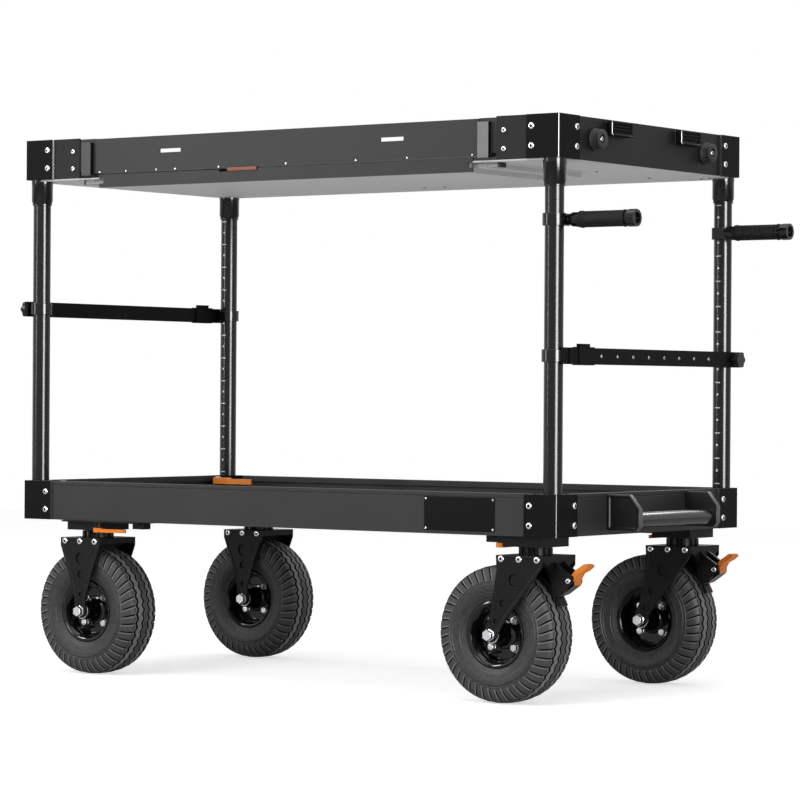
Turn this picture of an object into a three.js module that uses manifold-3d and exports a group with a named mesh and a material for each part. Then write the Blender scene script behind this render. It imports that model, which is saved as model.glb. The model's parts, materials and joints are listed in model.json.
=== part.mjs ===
// A two-deck camera cart: two open trays on four tube posts, a pull-out shelf under the upper tray,
// push handles and cross bars clamped to the posts, and four casters with pneumatic tyres.
// Millimetres, +Z up, +X along the length to the pushing end, +Y to the rear side.
// The origin is on the floor, under the middle of the whole outline.

import * as THREE from 'three';
import { mergeVertices } from 'three/addons/utils/BufferGeometryUtils.js';
import Module from 'manifold-3d';

const wasm = await Module();
wasm.setup();

// Frame outline and the heights of the two trays
const frameLength = 1320;
const frameWidth = 672;
const lowerFrameBottom = 318.5;
const lowerFrameHeight = 80;
const upperFrameBottom = 1023.5;
const upperFrameHeight = 82;

// Fits and helpers shared by all pieces
const seatGap = 0.3;
const runningGap = 0.5;
const joinDepth = 1;
const cutOverrun = 6;

// Folded rails and decks
const sheetThickness = 3;
const railLip = 12;
const railFlange = 22;

// Corner brackets with their post sockets
const bracketThickness = 5;
const bracketLeg = 73;
const socketReach = 60;
const lowerSocketHeight = 67;
const lowerSocketFloor = 14;
const lowerCapReach = 48;
const upperSocketHeight = 70;
const upperSocketDepth = 59;
const collarRadius = 21.5;
const collarLength = 43;
const collarTaper = 9;
const collarEndRadius = 19;
const boltInset = 60;
const boltHeadRadius = 6.8;
const boltHeadHeight = 3.6;
const boltSpacing = 37;
const lowerBoltHeight = 21;
const upperBoltHeight = 23;

// Posts
const postRadius = 18;
const postWall = 2.5;
const postInset = 24;

// Post latches in the lower tray
const latchInsetX = 39;
const latchInsetY = 78;
const latchSeatHalfWidth = 12.5;
const latchSeatReach = 93;
const latchSeatTop = 62;
const latchSeatHeight = 27;
const latchPinRadius = 4;
const latchThickness = 14;
const latchHeadRadius = 11;
const latchLength = 95;
const latchTipRadius = 7;

// Front wall of the upper tray
const frontPanelInset = 182;
const frontPanelLift = 8.5;
const frontPanelTopDrop = 3;
const frontPanelFlange = 20;
const frontSlotInset = 175;
const frontSlotLength = 54.5;
const frontSlotHeight = 7.6;
const frontSlotRise = 48.6;
const endPlateInset = 143;
const endPlateBoltInset = 125.5;
const endPlateBoltHeight = 20;
const endPlateBoltSpacing = 35;
const strapInset = 180;
const strapWidth = 25;
const strapLift = 4;
const strapHeight = 68;
const backingThickness = 6;
const backingInset = 200;
const backingLift = 14;
const backingHeight = 65;

// Bumpers and hook blocks on the end rails of the upper tray
const bumperRadius = 21;
const bumperReach = 20;
const bumperInset = 131;
const bumperHeight = 41;
const hookBlockInset = 170;
const hookBlockLength = 76;
const hookBlockHeight = 28.5;
const hookBlockDrop = 3;
const hookBlockReach = 17;

// Pull-out shelf and its flat slides
const shelfInset = 208;
const shelfDepth = 330;
const shelfDrop = 21;
const shelfLipInset = 196;
const shelfLipHeight = 28;
const slideRunnerInset = 172;
const slideRailInset = 149;
const slideHeight = 9.5;
const slideSetback = 14;
const slideStopInset = 134;
const slideStopLength = 22;
const slideNotchHeight = 11;
const shelfLatchStart = -126;
const shelfLatchLength = 73;
const shelfLatchHeight = 7;
const shelfLatchDepth = 10;
const shelfLatchProud = 3.3;
const shelfLatchTravel = 12;
const shelfLatchLift = 1;

// Lift handles on the end rails of the lower tray
const liftHandleReach = 72;
const liftHandleHalfSpan = 152;
const liftHandleWall = 14;
const liftHandleTop = 77;
const liftHandleBase = 9;
const liftHandleTopReach = 50;
const liftHandleChamfer = 27;
const liftHandleFoot = 8;
const liftBarRadius = 15;
const liftBarReach = 51;
const liftBarHeight = 29;

// Casters
const leftCasterInset = 146.5;
const rightCasterInset = 88.5;
const casterSideInset = 66.5;
const casterTrail = 66;
const platePad = 3;
const plateHalfSize = 45;
const plateThickness = 20;
const leftLugStart = 130;
const leftLugEnd = 160;
const leftLugInner = 22;
const leftLugOuter = 44;
const leftLugThickness = 14.5;
const rightLugEnd = 85;
const rightLugOuter = 41;
const rightLugInner = -28;
const rightLugThickness = 13;
const hubRadius = 28;
const forkTop = 282.5;
const forkHalfLength = 52;
const forkBlockThickness = 12;
const legInnerHalf = 53;
const legThickness = 5;
const legBossRadius = 14;
const legHoleRadius = 13;
const legMiddleHoleRadius = 8;
const legSmallHoleRadius = 5;
const axleRadius = 8;
const axleHeadRadius = 12;
const axleHeadHeight = 12;

// Wheels
const tyreRadius = 132;
const tyreHalfWidth = 45.5;
const tyreBoreRadius = 54.5;
const tyreSides = 28;
const rimRadius = 64;
const rimHalfWidth = 38;
const rimBarrelRadius = 54;
const rimBarrelWall = 4;
const rimFlangeThickness = 3.5;
const rimWebHalfWidth = 5;
const hubTubeRadius = 19;
const hubTubeHalfLength = 50;
const rimSides = 18;

// Brakes of the swivel casters
const brakeHalfWidth = 12.5;
const brakePlateThickness = 6;
const brakePivotX = 84.5;
const brakePivotZ = 236.7;
const brakePinRadius = 4;
const brakeReach = 38.4;
const bracketPlateTopLength = 19.2;
const brakeGussetThickness = 8;
const brakeGussetBottom = 249;
const brakeShoeRadius = 138;
const brakeShoeThickness = 5.5;

// Release levers under the caster plates
const leftReleasePlace = [48, 56];
const rightReleasePlace = [56, 33];
const releaseHeadRadius = 10;
const releaseHeadHeight = 9;
const releaseArmLength = 74;
const releaseArmWidth = 11;
const releaseArmHeight = 7;
const releasePinRadius = 4;
const releaseBossRadius = 8;
const releaseBottom = 295.5;

// Push handles on the right posts
const handleHeight = 909.5;
const clampWall = 3.5;
const clampHeight = 23;
const handleOffset = 23;
const handleTongueThickness = 10;
const handleTongueRadius = 9;
const clampBlockBack = 9;
const clampBlockFront = 16;
const clampBlockDepth = 16;
const handlePivotX = 36;
const knuckleRadius = 15;
const knuckleNoseRadius = 14.5;
const knuckleEnd = 42;
const knuckleSlotEnd = 47;
const handlePinRadius = 4;
const gripRadius = 14;
const gripEnd = 143;
const neckRadius = 12.5;
const neckEnd = 149;
const gripCapRadius = 16.5;
const gripCapEnd = 166;
const gripCapRecess = 5;
const gripCapRecessRadius = 11;

// Cross bars between the posts of each end
const rightBarHeight = 656.1;
const leftBarHeight = 755.5;
const barRingHeight = 22;
const barBossReach = 25;
const barBossHalfWidth = 9;
const barStart = 23;
const barThickness = 8;
const barHalfHeight = 15.5;
const barPastPost = 18;
const barBlockStart = 5;
const barSleeveStart = 36;
const barSleeveEnd = 88;
const barSleeveWall = 2;
const barSleeveExtraHeight = 1.5;
const barTabStart = 43;
const barTabEnd = 78;
const barTabHeight = 6;
const barSlotHalfHeight = 4.6;
const barSlotLength = 26;
const knobRadius = 17;
const knobLobe = 1.6;
const knobThickness = 13;
const knobStudRadius = 4;
const knobStudReach = 4;

// Facet counts of round surfaces
const fineSides = 20;
const plainSides = 12;
const boltSides = 6;
const knobSides = 36;
const tipCurve = 3;
const holeCurve = 5;

// Places worked out from the sizes above
const railFace = bracketThickness + seatGap;
const halfLength = frameLength / 2;
const halfWidth = frameWidth / 2;
const railEndInset = socketReach + seatGap;
const frontPanelHalfLength = halfLength - frontPanelInset;
const shelfHalfWidth = halfLength - shelfInset;
const shelfLipHalfWidth = halfLength - shelfLipInset;
const slideRunnerEnd = halfLength - slideRunnerInset;
const slideRailEnd = halfLength - slideRailInset;
const slideStopEnd = halfLength - slideStopInset;
const leftCasterX = leftCasterInset - halfLength;
const rightCasterX = halfLength - rightCasterInset;
const casterY = halfWidth - casterSideInset;
const axleHeight = tyreRadius * Math.cos(Math.PI / tyreSides);
const platesBottom = lowerFrameBottom - seatGap - plateThickness;
const clampRadius = postRadius + seatGap + clampWall;
const pushHandleReach = halfLength - postInset + gripCapEnd;
const liftReach = halfLength - bracketThickness + liftHandleReach;

// Finishes
const finish = (color, roughness, metalness) =>
  new THREE.MeshStandardMaterial({ color, roughness, metalness });
const blackRail = finish(0x3a3a3b, 0.5, 0.6);
const blackBracket = finish(0x232324, 0.45, 0.6);
const blackTube = finish(0x161617, 0.25, 0.7);
const greySheet = finish(0x959595, 0.5, 0.7);
const blackSteel = finish(0x1c1c1d, 0.4, 0.6);
const glossBlack = finish(0x0c0c0d, 0.15, 0.5);
const rubber = finish(0x3a3a3a, 0.9, 0);
const gripRubber = finish(0x262627, 0.8, 0);
const orange = finish(0xe0751a, 0.35, 0.6);
const blackPlastic = finish(0x2a2a2b, 0.6, 0);

// Turns a closed three.js geometry into a solid that can be joined and cut.
function solidOf(geometry) {
  geometry.deleteAttribute('normal');
  geometry.deleteAttribute('uv');
  const merged = mergeVertices(geometry);
  const vertProperties = new Float32Array(merged.attributes.position.array);
  const triVerts = new Uint32Array(merged.index.array);
  return new wasm.Manifold(new wasm.Mesh({ numProp: 3, vertProperties, triVerts }));
}

const join = (first, ...others) => others.reduce((sum, solid) => sum.add(solid), first);
const cut = (first, ...others) => others.reduce((rest, solid) => rest.subtract(solid), first);

// A box from pairs of limits, given in either order.
function box(xs, ys, zs) {
  const [x0, x1] = [Math.min(...xs), Math.max(...xs)];
  const [y0, y1] = [Math.min(...ys), Math.max(...ys)];
  const [z0, z1] = [Math.min(...zs), Math.max(...zs)];
  const geometry = new THREE.BoxGeometry(x1 - x0, y1 - y0, z1 - z0);
  geometry.translate((x0 + x1) / 2, (y0 + y1) / 2, (z0 + z1) / 2);
  return solidOf(geometry);
}

// Round bars along each axis; radius may differ at the two ends.
function rodZ(x, y, [z0, z1], radius, sides = plainSides, topRadius = radius) {
  const geometry = new THREE.CylinderGeometry(topRadius, radius, z1 - z0, sides);
  geometry.rotateX(Math.PI / 2);
  geometry.translate(x, y, (z0 + z1) / 2);
  return solidOf(geometry);
}

function rodY(x, z, ys, radius, sides = plainSides) {
  const geometry = new THREE.CylinderGeometry(radius, radius, Math.abs(ys[1] - ys[0]), sides);
  geometry.translate(x, (ys[0] + ys[1]) / 2, z);
  return solidOf(geometry);
}

function rodX(y, z, xs, radius, sides = plainSides) {
  const geometry = new THREE.CylinderGeometry(radius, radius, Math.abs(xs[1] - xs[0]), sides);
  geometry.rotateZ(-Math.PI / 2);
  geometry.translate((xs[0] + xs[1]) / 2, y, z);
  return solidOf(geometry);
}

// Prisms of an outline: along Z from an XY outline, along Y from an XZ one, along X from a YZ one.
function prismZ(shape, [z0, z1], curveSegments = tipCurve) {
  const geometry = new THREE.ExtrudeGeometry(shape, { depth: z1 - z0, bevelEnabled: false, curveSegments });
  geometry.translate(0, 0, z0);
  return solidOf(geometry);
}

function prismY(shape, [y0, y1], curveSegments = holeCurve) {
  const geometry = new THREE.ExtrudeGeometry(shape, { depth: y1 - y0, bevelEnabled: false, curveSegments });
  geometry.rotateX(Math.PI / 2);
  geometry.translate(0, y1, 0);
  return solidOf(geometry);
}

function prismX(shape, [x0, x1], curveSegments = tipCurve) {
  const geometry = new THREE.ExtrudeGeometry(shape, { depth: x1 - x0, bevelEnabled: false, curveSegments });
  const [x, y, z] = [new THREE.Vector3(1, 0, 0), new THREE.Vector3(0, 1, 0), new THREE.Vector3(0, 0, 1)];
  geometry.applyMatrix4(new THREE.Matrix4().makeBasis(y, z, x));
  geometry.translate(x0, 0, 0);
  return solidOf(geometry);
}

const outline = (points) => new THREE.Shape(points.map(([a, b]) => new THREE.Vector2(a, b)));

// A closed ring profile turned about the Y axis, with a flat facet at the bottom.
function turnedY(profile, sides) {
  const points = [...profile, profile[0]].map(([r, y]) => new THREE.Vector2(r, y));
  const geometry = new THREE.LatheGeometry(points, sides, Math.PI / sides);
  return solidOf(geometry);
}

// Puts a solid into a group as a named mesh.
function addPiece(group, name, solid, material) {
  const { vertProperties, triVerts } = solid.getMesh();
  const geometry = new THREE.BufferGeometry();
  geometry.setAttribute('position', new THREE.BufferAttribute(vertProperties, 3));
  geometry.setIndex(new THREE.BufferAttribute(triVerts, 1));
  geometry.computeVertexNormals();
  const mesh = new THREE.Mesh(geometry, material);
  mesh.name = name;
  group.add(mesh);
  return mesh;
}

function addGroup(parent, x, y, z) {
  const group = new THREE.Group();
  group.position.set(x, y, z);
  parent.add(group);
  return group;
}

const corners = [
  { end: -1, side: -1, name: 'front_left' },
  { end: 1, side: -1, name: 'front_right' },
  { end: -1, side: 1, name: 'rear_left' },
  { end: 1, side: 1, name: 'rear_right' },
];

// The C section of a rail, measured inwards from the frame's outer face.
function railSection(direction, height) {
  const face = railFace;
  return outline([
    [direction * face, 0],
    [direction * (face + railFlange), 0],
    [direction * (face + railFlange), sheetThickness],
    [direction * (face + sheetThickness), sheetThickness],
    [direction * (face + sheetThickness), height - sheetThickness],
    [direction * (face + railLip), height - sheetThickness],
    [direction * (face + railLip), height],
    [direction * face, height],
  ]);
}

function lengthRail(side, height) {
  const reach = halfLength - railEndInset;
  return prismX(railSection(-side, height), [-reach, reach]);
}

function endRail(end, height) {
  const reach = halfWidth - railEndInset;
  return prismY(railSection(-end, height), [-reach, reach]);
}

// The bolt heads of a corner bracket: two on each leg.
function bracketBolts(end, side, firstHeight) {
  const heads = [];
  for (const z of [firstHeight, firstHeight + boltSpacing]) {
    const proudX = [-end * joinDepth, end * boltHeadHeight];
    const proudY = [-side * joinDepth, side * boltHeadHeight];
    heads.push(rodY(-end * boltInset, z, proudY, boltHeadRadius, boltSides));
    heads.push(rodX(-side * boltInset, z, proudX, boltHeadRadius, boltSides));
  }
  return heads;
}

// The two bracket legs, outside faces at the corner of the frame.
function bracketLegs(end, side, height) {
  const sideLeg = box([0, -end * bracketLeg], [0, -side * bracketThickness], [0, height]);
  const endLeg = box([0, -end * bracketThickness], [0, -side * bracketLeg], [0, height]);
  return join(sideLeg, endLeg);
}

function addLowerCorner(frame, { end, side, name }) {
  const group = addGroup(frame, end * halfLength, side * halfWidth, 0);
  const wall = bracketThickness - joinDepth;
  const inX = (reach) => [-end * wall, -end * reach];
  const inY = (reach) => [-side * wall, -side * reach];
  const socket = box(inX(socketReach), inY(socketReach), [0, lowerSocketHeight]);
  const capSpan = [lowerSocketHeight - joinDepth, lowerFrameHeight];
  const cap = box(inX(lowerCapReach), inY(lowerCapReach), capSpan);
  const seat = box(
    [-end * (latchInsetX - latchSeatHalfWidth), -end * (latchInsetX + latchSeatHalfWidth)],
    [-side * (socketReach - joinDepth), -side * latchSeatReach],
    [latchSeatTop - latchSeatHeight, latchSeatTop],
  );
  const pinSpan = [latchSeatTop - joinDepth, latchSeatTop + latchThickness];
  const pin = rodZ(-end * latchInsetX, -side * latchInsetY, pinSpan, latchPinRadius);
  const boreSpan = [lowerSocketFloor, lowerFrameHeight + cutOverrun];
  const bore = rodZ(-end * postInset, -side * postInset, boreSpan, postRadius + seatGap, fineSides);
  const bolts = bracketBolts(end, side, lowerBoltHeight);
  const body = join(bracketLegs(end, side, lowerFrameHeight), socket, cap, seat, pin, ...bolts);
  addPiece(group, `lower_corner_${name}`, cut(body, bore), blackBracket);
}

function addUpperCorner(frame, { end, side, name }) {
  const group = addGroup(frame, end * halfLength, side * halfWidth, 0);
  const wall = bracketThickness - joinDepth;
  const socketX = [-end * wall, -end * socketReach];
  const socketY = [-side * wall, -side * socketReach];
  const socket = box(socketX, socketY, [0, upperSocketHeight]);
  const [x, y] = [-end * postInset, -side * postInset];
  const collar = rodZ(x, y, [-collarLength, joinDepth], collarRadius, fineSides);
  const taperSpan = [-collarLength - collarTaper, -collarLength];
  const taper = rodZ(x, y, taperSpan, collarEndRadius, fineSides, collarRadius);
  const boreSpan = [-collarLength - collarTaper - cutOverrun, upperSocketDepth];
  const bore = rodZ(x, y, boreSpan, postRadius + seatGap, fineSides);
  const bolts = bracketBolts(end, side, upperBoltHeight);
  const body = join(bracketLegs(end, side, upperFrameHeight), socket, collar, taper, ...bolts);
  addPiece(group, `upper_corner_${name}`, cut(body, bore), blackBracket);
}

// A deck sheet with its four corners cut away for the sockets.
function addLowerDeck(frame) {
  const edge = railFace + sheetThickness + seatGap;
  const level = [sheetThickness + seatGap, sheetThickness + seatGap + sheetThickness];
  const xs = [-halfLength + edge, halfLength - edge];
  const ys = [-halfWidth + edge, halfWidth - edge];
  const longReach = halfLength - railEndInset;
  const wideReach = halfWidth - railEndInset;
  const lengthways = box(xs, [-wideReach, wideReach], level);
  const crossways = box([-longReach, longReach], ys, level);
  addPiece(frame, 'lower_deck', join(lengthways, crossways), greySheet);
}

// The upper deck lies under its rails and carries the fixed members of the two shelf slides.
function addUpperDeck(frame) {
  const level = [-seatGap - sheetThickness, -seatGap];
  const reachX = halfLength - railFace;
  const reachY = halfWidth - railFace;
  const sheet = box([-reachX, reachX], [-reachY, reachY], level);
  const notchBack = -reachY + sheetThickness + slideSetback / 2;
  const lipRoom = box(
    [-shelfLipHalfWidth - runningGap, shelfLipHalfWidth + runningGap],
    [-reachY - cutOverrun, notchBack],
    [level[0] - cutOverrun, level[1] + cutOverrun],
  );
  const holes = corners.map(({ end, side }) => {
    const span = [level[0] - cutOverrun, level[1] + cutOverrun];
    const [x, y] = [end * (halfLength - postInset), side * (halfWidth - postInset)];
    const round = rodZ(x, y, span, collarRadius + seatGap, fineSides);
    return join(round, box([x, end * halfLength], [y, side * halfWidth], span));
  });
  const slideTop = level[0] + joinDepth;
  const slideBottom = level[0] - slideHeight;
  const slideFront = -reachY + slideSetback;
  const rails = [-1, 1].map((end) => {
    const span = [end * (slideRunnerEnd + runningGap), end * slideRailEnd];
    return box(span, [slideFront, slideFront + shelfDepth], [slideBottom, slideTop]);
  });
  const stops = [-1, 1].map((end) => {
    const span = [end * (slideRailEnd - joinDepth), end * slideStopEnd];
    return box(span, [slideFront, slideFront + slideStopLength], [slideBottom, slideTop]);
  });
  addPiece(frame, 'upper_deck', join(cut(sheet, lipRoom, ...holes), ...rails, ...stops), greySheet);
}

// The front wall: a slotted panel between two end plates, tied by backing bars and faced by two straps.
function addFrontWall(frame) {
  const outerY = -halfWidth;
  const [faceY, backY] = [outerY + railFace, outerY + railFace + sheetThickness];
  const panelTop = upperFrameHeight - frontPanelTopDrop;
  const panelSpan = [-frontPanelHalfLength, frontPanelHalfLength];
  const web = box(panelSpan, [faceY, backY], [frontPanelLift, panelTop]);
  const flangeSpan = [frontPanelLift, frontPanelLift + sheetThickness];
  const flange = box(panelSpan, [faceY, faceY + frontPanelFlange], flangeSpan);
  const solids = [flange];
  const slots = [];
  for (const end of [-1, 1]) {
    const plateSpan = [end * (halfLength - endPlateInset), end * (halfLength - railEndInset)];
    solids.push(box(plateSpan, [faceY, backY], [0, upperFrameHeight]));
    const backingSpan = [end * (halfLength - backingInset), end * (halfLength - railEndInset)];
    const backingY = [backY - joinDepth, backY + backingThickness];
    solids.push(box(backingSpan, backingY, [backingLift, backingLift + backingHeight]));
    const strapStart = halfLength - strapInset;
    const strapSpan = [end * strapStart, end * (strapStart + strapWidth)];
    solids.push(box(strapSpan, [outerY - boltHeadHeight, backY], [strapLift, strapLift + strapHeight]));
    for (const z of [endPlateBoltHeight, endPlateBoltHeight + endPlateBoltSpacing]) {
      const proud = [faceY + joinDepth, faceY - boltHeadHeight];
      solids.push(rodY(end * (halfLength - endPlateBoltInset), z, proud, boltHeadRadius, boltSides));
    }
    const slotEnd = frontPanelHalfLength - frontSlotInset;
    const slotSpan = [end * (slotEnd - frontSlotLength), end * slotEnd];
    const slotZ = [frontSlotRise - frontSlotHeight / 2, frontSlotRise + frontSlotHeight / 2];
    slots.push(box(slotSpan, [faceY - cutOverrun, backY + cutOverrun], slotZ));
  }
  addPiece(frame, 'upper_front_wall', cut(join(web, ...solids), ...slots), blackRail);
}

// End rails of the upper tray, with two bumpers and two hook blocks on the outer face.
function addUpperEndRail(frame, end, name) {
  const group = addGroup(frame, end * halfLength, 0, 0);
  const face = -end * railFace;
  const solids = [];
  for (const side of [-1, 1]) {
    const bumperSpan = [face - end * joinDepth, face + end * bumperReach];
    solids.push(rodX(side * (halfWidth - bumperInset), bumperHeight, bumperSpan, bumperRadius));
    const blockEnd = halfWidth - hookBlockInset;
    const blockSpan = [side * (blockEnd - hookBlockLength), side * blockEnd];
    const blockTop = upperFrameHeight - hookBlockDrop;
    const blockZ = [blockTop - hookBlockHeight, blockTop];
    solids.push(box([face - end * joinDepth, face + end * hookBlockReach], blockSpan, blockZ));
  }
  addPiece(group, name, join(endRail(end, upperFrameHeight), ...solids), blackRail);
}

function addPost(cart, { end, side, name }) {
  const bottom = lowerFrameBottom + lowerSocketFloor + seatGap;
  const top = upperFrameBottom + upperSocketDepth - seatGap;
  const group = addGroup(cart, end * (halfLength - postInset), side * (halfWidth - postInset), bottom);
  const tube = rodZ(0, 0, [0, top - bottom], postRadius, fineSides);
  const bore = rodZ(0, 0, [-cutOverrun, top - bottom + cutOverrun], postRadius - postWall, fineSides);
  addPiece(group, `post_${name}`, cut(tube, bore), blackTube);
}

// A flat lever that tapers from a round head at its pivot to a rounded tip along +X.
function leverOutline(headRadius, length, tipRadius, direction = 1) {
  const shape = new THREE.Shape();
  const quarter = Math.PI / 2;
  shape.absarc(0, 0, headRadius, quarter, -quarter, false);
  shape.absarc(length - tipRadius, 0, tipRadius, -quarter, quarter, false);
  if (direction > 0) return shape;
  return outline(shape.getPoints(tipCurve).map((point) => [-point.x, point.y]));
}

function addPostLatch(frame, { end, side, name }) {
  const x = end * (halfLength - latchInsetX);
  const y = side * (halfWidth - latchInsetY);
  const group = addGroup(frame, x, y, latchSeatTop + seatGap);
  const lever = leverOutline(latchHeadRadius, latchLength, latchTipRadius, -end);
  const body = prismZ(lever, [0, latchThickness]);
  const hole = rodZ(0, 0, [-cutOverrun, latchThickness + cutOverrun], latchPinRadius + runningGap);
  addPiece(group, `post_latch_${name}`, cut(body, hole), orange);
}

// The pull-out shelf: a tray with a front lip, side walls and the moving members of its slides.
function addShelf(frame) {
  const front = -halfWidth + railFace;
  const bottom = -shelfDrop;
  const sheet = sheetThickness;
  const slideTop = -seatGap - sheetThickness - runningGap;
  const slideBottom = -seatGap - sheetThickness - slideHeight + runningGap;
  const slideFront = front + slideSetback;
  const solids = [];
  const notches = [];
  for (const end of [-1, 1]) {
    const wall = [end * (shelfHalfWidth - sheet), end * shelfHalfWidth];
    solids.push(box(wall, [front + sheet - joinDepth, front + shelfDepth], [bottom, slideTop]));
    const runner = [end * (shelfHalfWidth - joinDepth), end * slideRunnerEnd];
    solids.push(box(runner, [slideFront, slideFront + shelfDepth], [slideBottom, slideTop]));
    const notch = [end * (shelfHalfWidth + joinDepth), end * (shelfLipHalfWidth + cutOverrun)];
    const notchZ = [slideBottom - runningGap, slideBottom - runningGap + slideNotchHeight];
    notches.push(box(notch, [front - cutOverrun, front + sheet], notchZ));
  }
  const board = [-shelfHalfWidth, shelfHalfWidth];
  solids.push(box(board, [front + sheet - joinDepth, front + shelfDepth], [bottom, bottom + sheet]));
  const lipSpan = [-shelfLipHalfWidth, shelfLipHalfWidth];
  const lip = box(lipSpan, [front, front + sheet], [bottom, bottom + shelfLipHeight]);
  const latchRoom = box(
    [shelfLatchStart - shelfLatchTravel * 2, shelfLatchStart + shelfLatchLength + sheet],
    [front - cutOverrun, front + sheet + cutOverrun],
    [shelfLatchLift - seatGap, shelfLatchLift + shelfLatchHeight + cutOverrun],
  );
  addPiece(frame, 'keyboard_shelf', join(cut(lip, latchRoom, ...notches), ...solids), blackRail);
  const latchY = [front - shelfLatchProud, front - shelfLatchProud + shelfLatchDepth];
  const latchSpan = [shelfLatchStart, shelfLatchStart + shelfLatchLength];
  const latch = box(latchSpan, latchY, [shelfLatchLift, shelfLatchLift + shelfLatchHeight]);
  addPiece(frame, 'shelf_latch', latch, orange);
}

// A lift handle: two chamfered end plates on the end rail with a round bar between them.
function addLiftHandle(frame, end, name) {
  const group = addGroup(frame, end * (halfLength - railFace), 0, 0);
  const reach = liftHandleReach;
  const side = outline([
    [end * seatGap, liftHandleBase],
    [end * (reach - liftHandleFoot), liftHandleBase],
    [end * reach, liftHandleBase + liftHandleFoot],
    [end * reach, liftHandleTop - liftHandleChamfer],
    [end * liftHandleTopReach, liftHandleTop],
    [end * seatGap, liftHandleTop],
  ]);
  const outer = liftHandleHalfSpan;
  const inner = liftHandleHalfSpan - liftHandleWall;
  const plates = [prismY(side, [-outer, -inner]), prismY(side, [inner, outer])];
  const barSpan = [-inner - joinDepth, inner + joinDepth];
  const bar = rodY(end * liftBarReach, liftBarHeight, barSpan, liftBarRadius, fineSides);
  addPiece(group, name, join(bar, ...plates), blackPlastic);
}

// Caster plates: a pad under the frame, the swivel block, a lug and the boss of the release lever.
function addCasterPlate(cart, { end, side, name }) {
  const group = addGroup(cart, end < 0 ? leftCasterX : rightCasterX, side * casterY, 0);
  const top = lowerFrameBottom - seatGap;
  const inwards = -end;
  const [releaseX, releaseY] = end < 0 ? leftReleasePlace : rightReleasePlace;
  const reach = end < 0 ? leftLugEnd : releaseX + releaseHeadRadius;
  const pad = box(
    [-inwards * plateHalfSize, inwards * reach],
    [-side * plateHalfSize, side * Math.max(plateHalfSize, releaseY + releaseBossRadius)],
    [top - platePad, top],
  );
  const block = box([-plateHalfSize, plateHalfSize], [-plateHalfSize, plateHalfSize], [platesBottom, top]);
  const leftLug = () => box(
    [inwards * leftLugStart, inwards * leftLugEnd],
    [side * leftLugInner, side * leftLugOuter],
    [top - leftLugThickness, top],
  );
  const rightLug = () => box(
    [inwards * (plateHalfSize - joinDepth), inwards * rightLugEnd],
    [side * rightLugInner, side * rightLugOuter],
    [top - rightLugThickness, top],
  );
  const lug = end < 0 ? leftLug() : rightLug();
  const [x, y] = [inwards * releaseX, side * releaseY];
  const boss = rodZ(x, y, [releaseBottom + releaseHeadHeight + seatGap, top], releaseBossRadius);
  const pin = rodZ(x, y, [releaseBottom, top], releasePinRadius);
  addPiece(group, `caster_plate_${name}`, join(pad, block, lug, boss, pin), blackSteel);
}

// Left levers lie along the frame and point inwards; right levers lie across it under their lugs.
function addReleaseLever(cart, { end, side, name }) {
  const casterX = end < 0 ? leftCasterX : rightCasterX;
  const [releaseX, releaseY] = end < 0 ? leftReleasePlace : rightReleasePlace;
  const group = addGroup(cart, casterX - end * releaseX, side * (casterY + releaseY), releaseBottom);
  group.rotation.z = end < 0 ? 0 : -side * Math.PI / 2;
  const arm = leverOutline(releaseArmWidth / 2, releaseArmLength, releaseArmWidth / 2);
  const head = rodZ(0, 0, [0, releaseHeadHeight], releaseHeadRadius);
  const body = join(head, prismZ(arm, [0, releaseArmHeight]));
  const hole = rodZ(0, 0, [-cutOverrun, releaseHeadHeight + cutOverrun], releasePinRadius + runningGap);
  addPiece(group, `release_lever_${name}`, cut(body, hole), orange);
}

// The fork's leg outlines, as shares of the fork's half length and of the leg's height above the axle.
const rigidLegShares = [
  [-0.27, 0.17],
  [-0.58, 0.52],
  [-1, 0.89],
  [-1, 1],
  [1, 1],
  [1, 0.89],
  [0.58, 0.52],
  [0.27, 0.17],
];
const rigidHoleShares = [[0, 0.71], [0, 0.49], [0, 0.225]];
const rigidBossArc = [-5, -175];
const swivelLegShares = [
  [-1.28, 0.22],
  [-1.1, 0.52],
  [-0.97, 0.82],
  [-1, 1],
  [1, 1],
  [1, 0.87],
  [-0.54, 0.22],
];
const swivelHoleShares = [[-0.23, 0.69], [-0.71, 0.4], [-1.04, 0.17]];
const swivelBossArc = [-42, -207];
const degree = Math.PI / 180;

function legSolids(axleX, legShares, holeShares, bossArc) {
  const height = forkTop - axleHeight;
  const place = ([a, b]) => [a * forkHalfLength, axleHeight + b * height];
  const shape = outline(legShares.map(place));
  const holeRadii = [legHoleRadius, legMiddleHoleRadius, legSmallHoleRadius];
  holeShares.map(place).forEach(([x, z], index) => {
    const hole = new THREE.Path();
    hole.absarc(x, z, holeRadii[index], 0, 2 * Math.PI);
    shape.holes.push(hole);
  });
  shape.absarc(axleX, axleHeight, legBossRadius, bossArc[0] * degree, bossArc[1] * degree, true);
  const outer = legInnerHalf + legThickness;
  const spans = [[-outer, -legInnerHalf], [legInnerHalf, outer]];
  return spans.map((span) => prismY(shape, span));
}

// Side plate of the brake bracket from the lever's pivot, as shares of the lever's reach.
const bracketPlateShares = [
  [0.2, 0.23],
  [0.2, -0.13],
  [-0.47, -0.64],
  [-0.92, -0.42],
  [-1.04, 0.1],
  [-1.42, 0.65],
];

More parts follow.
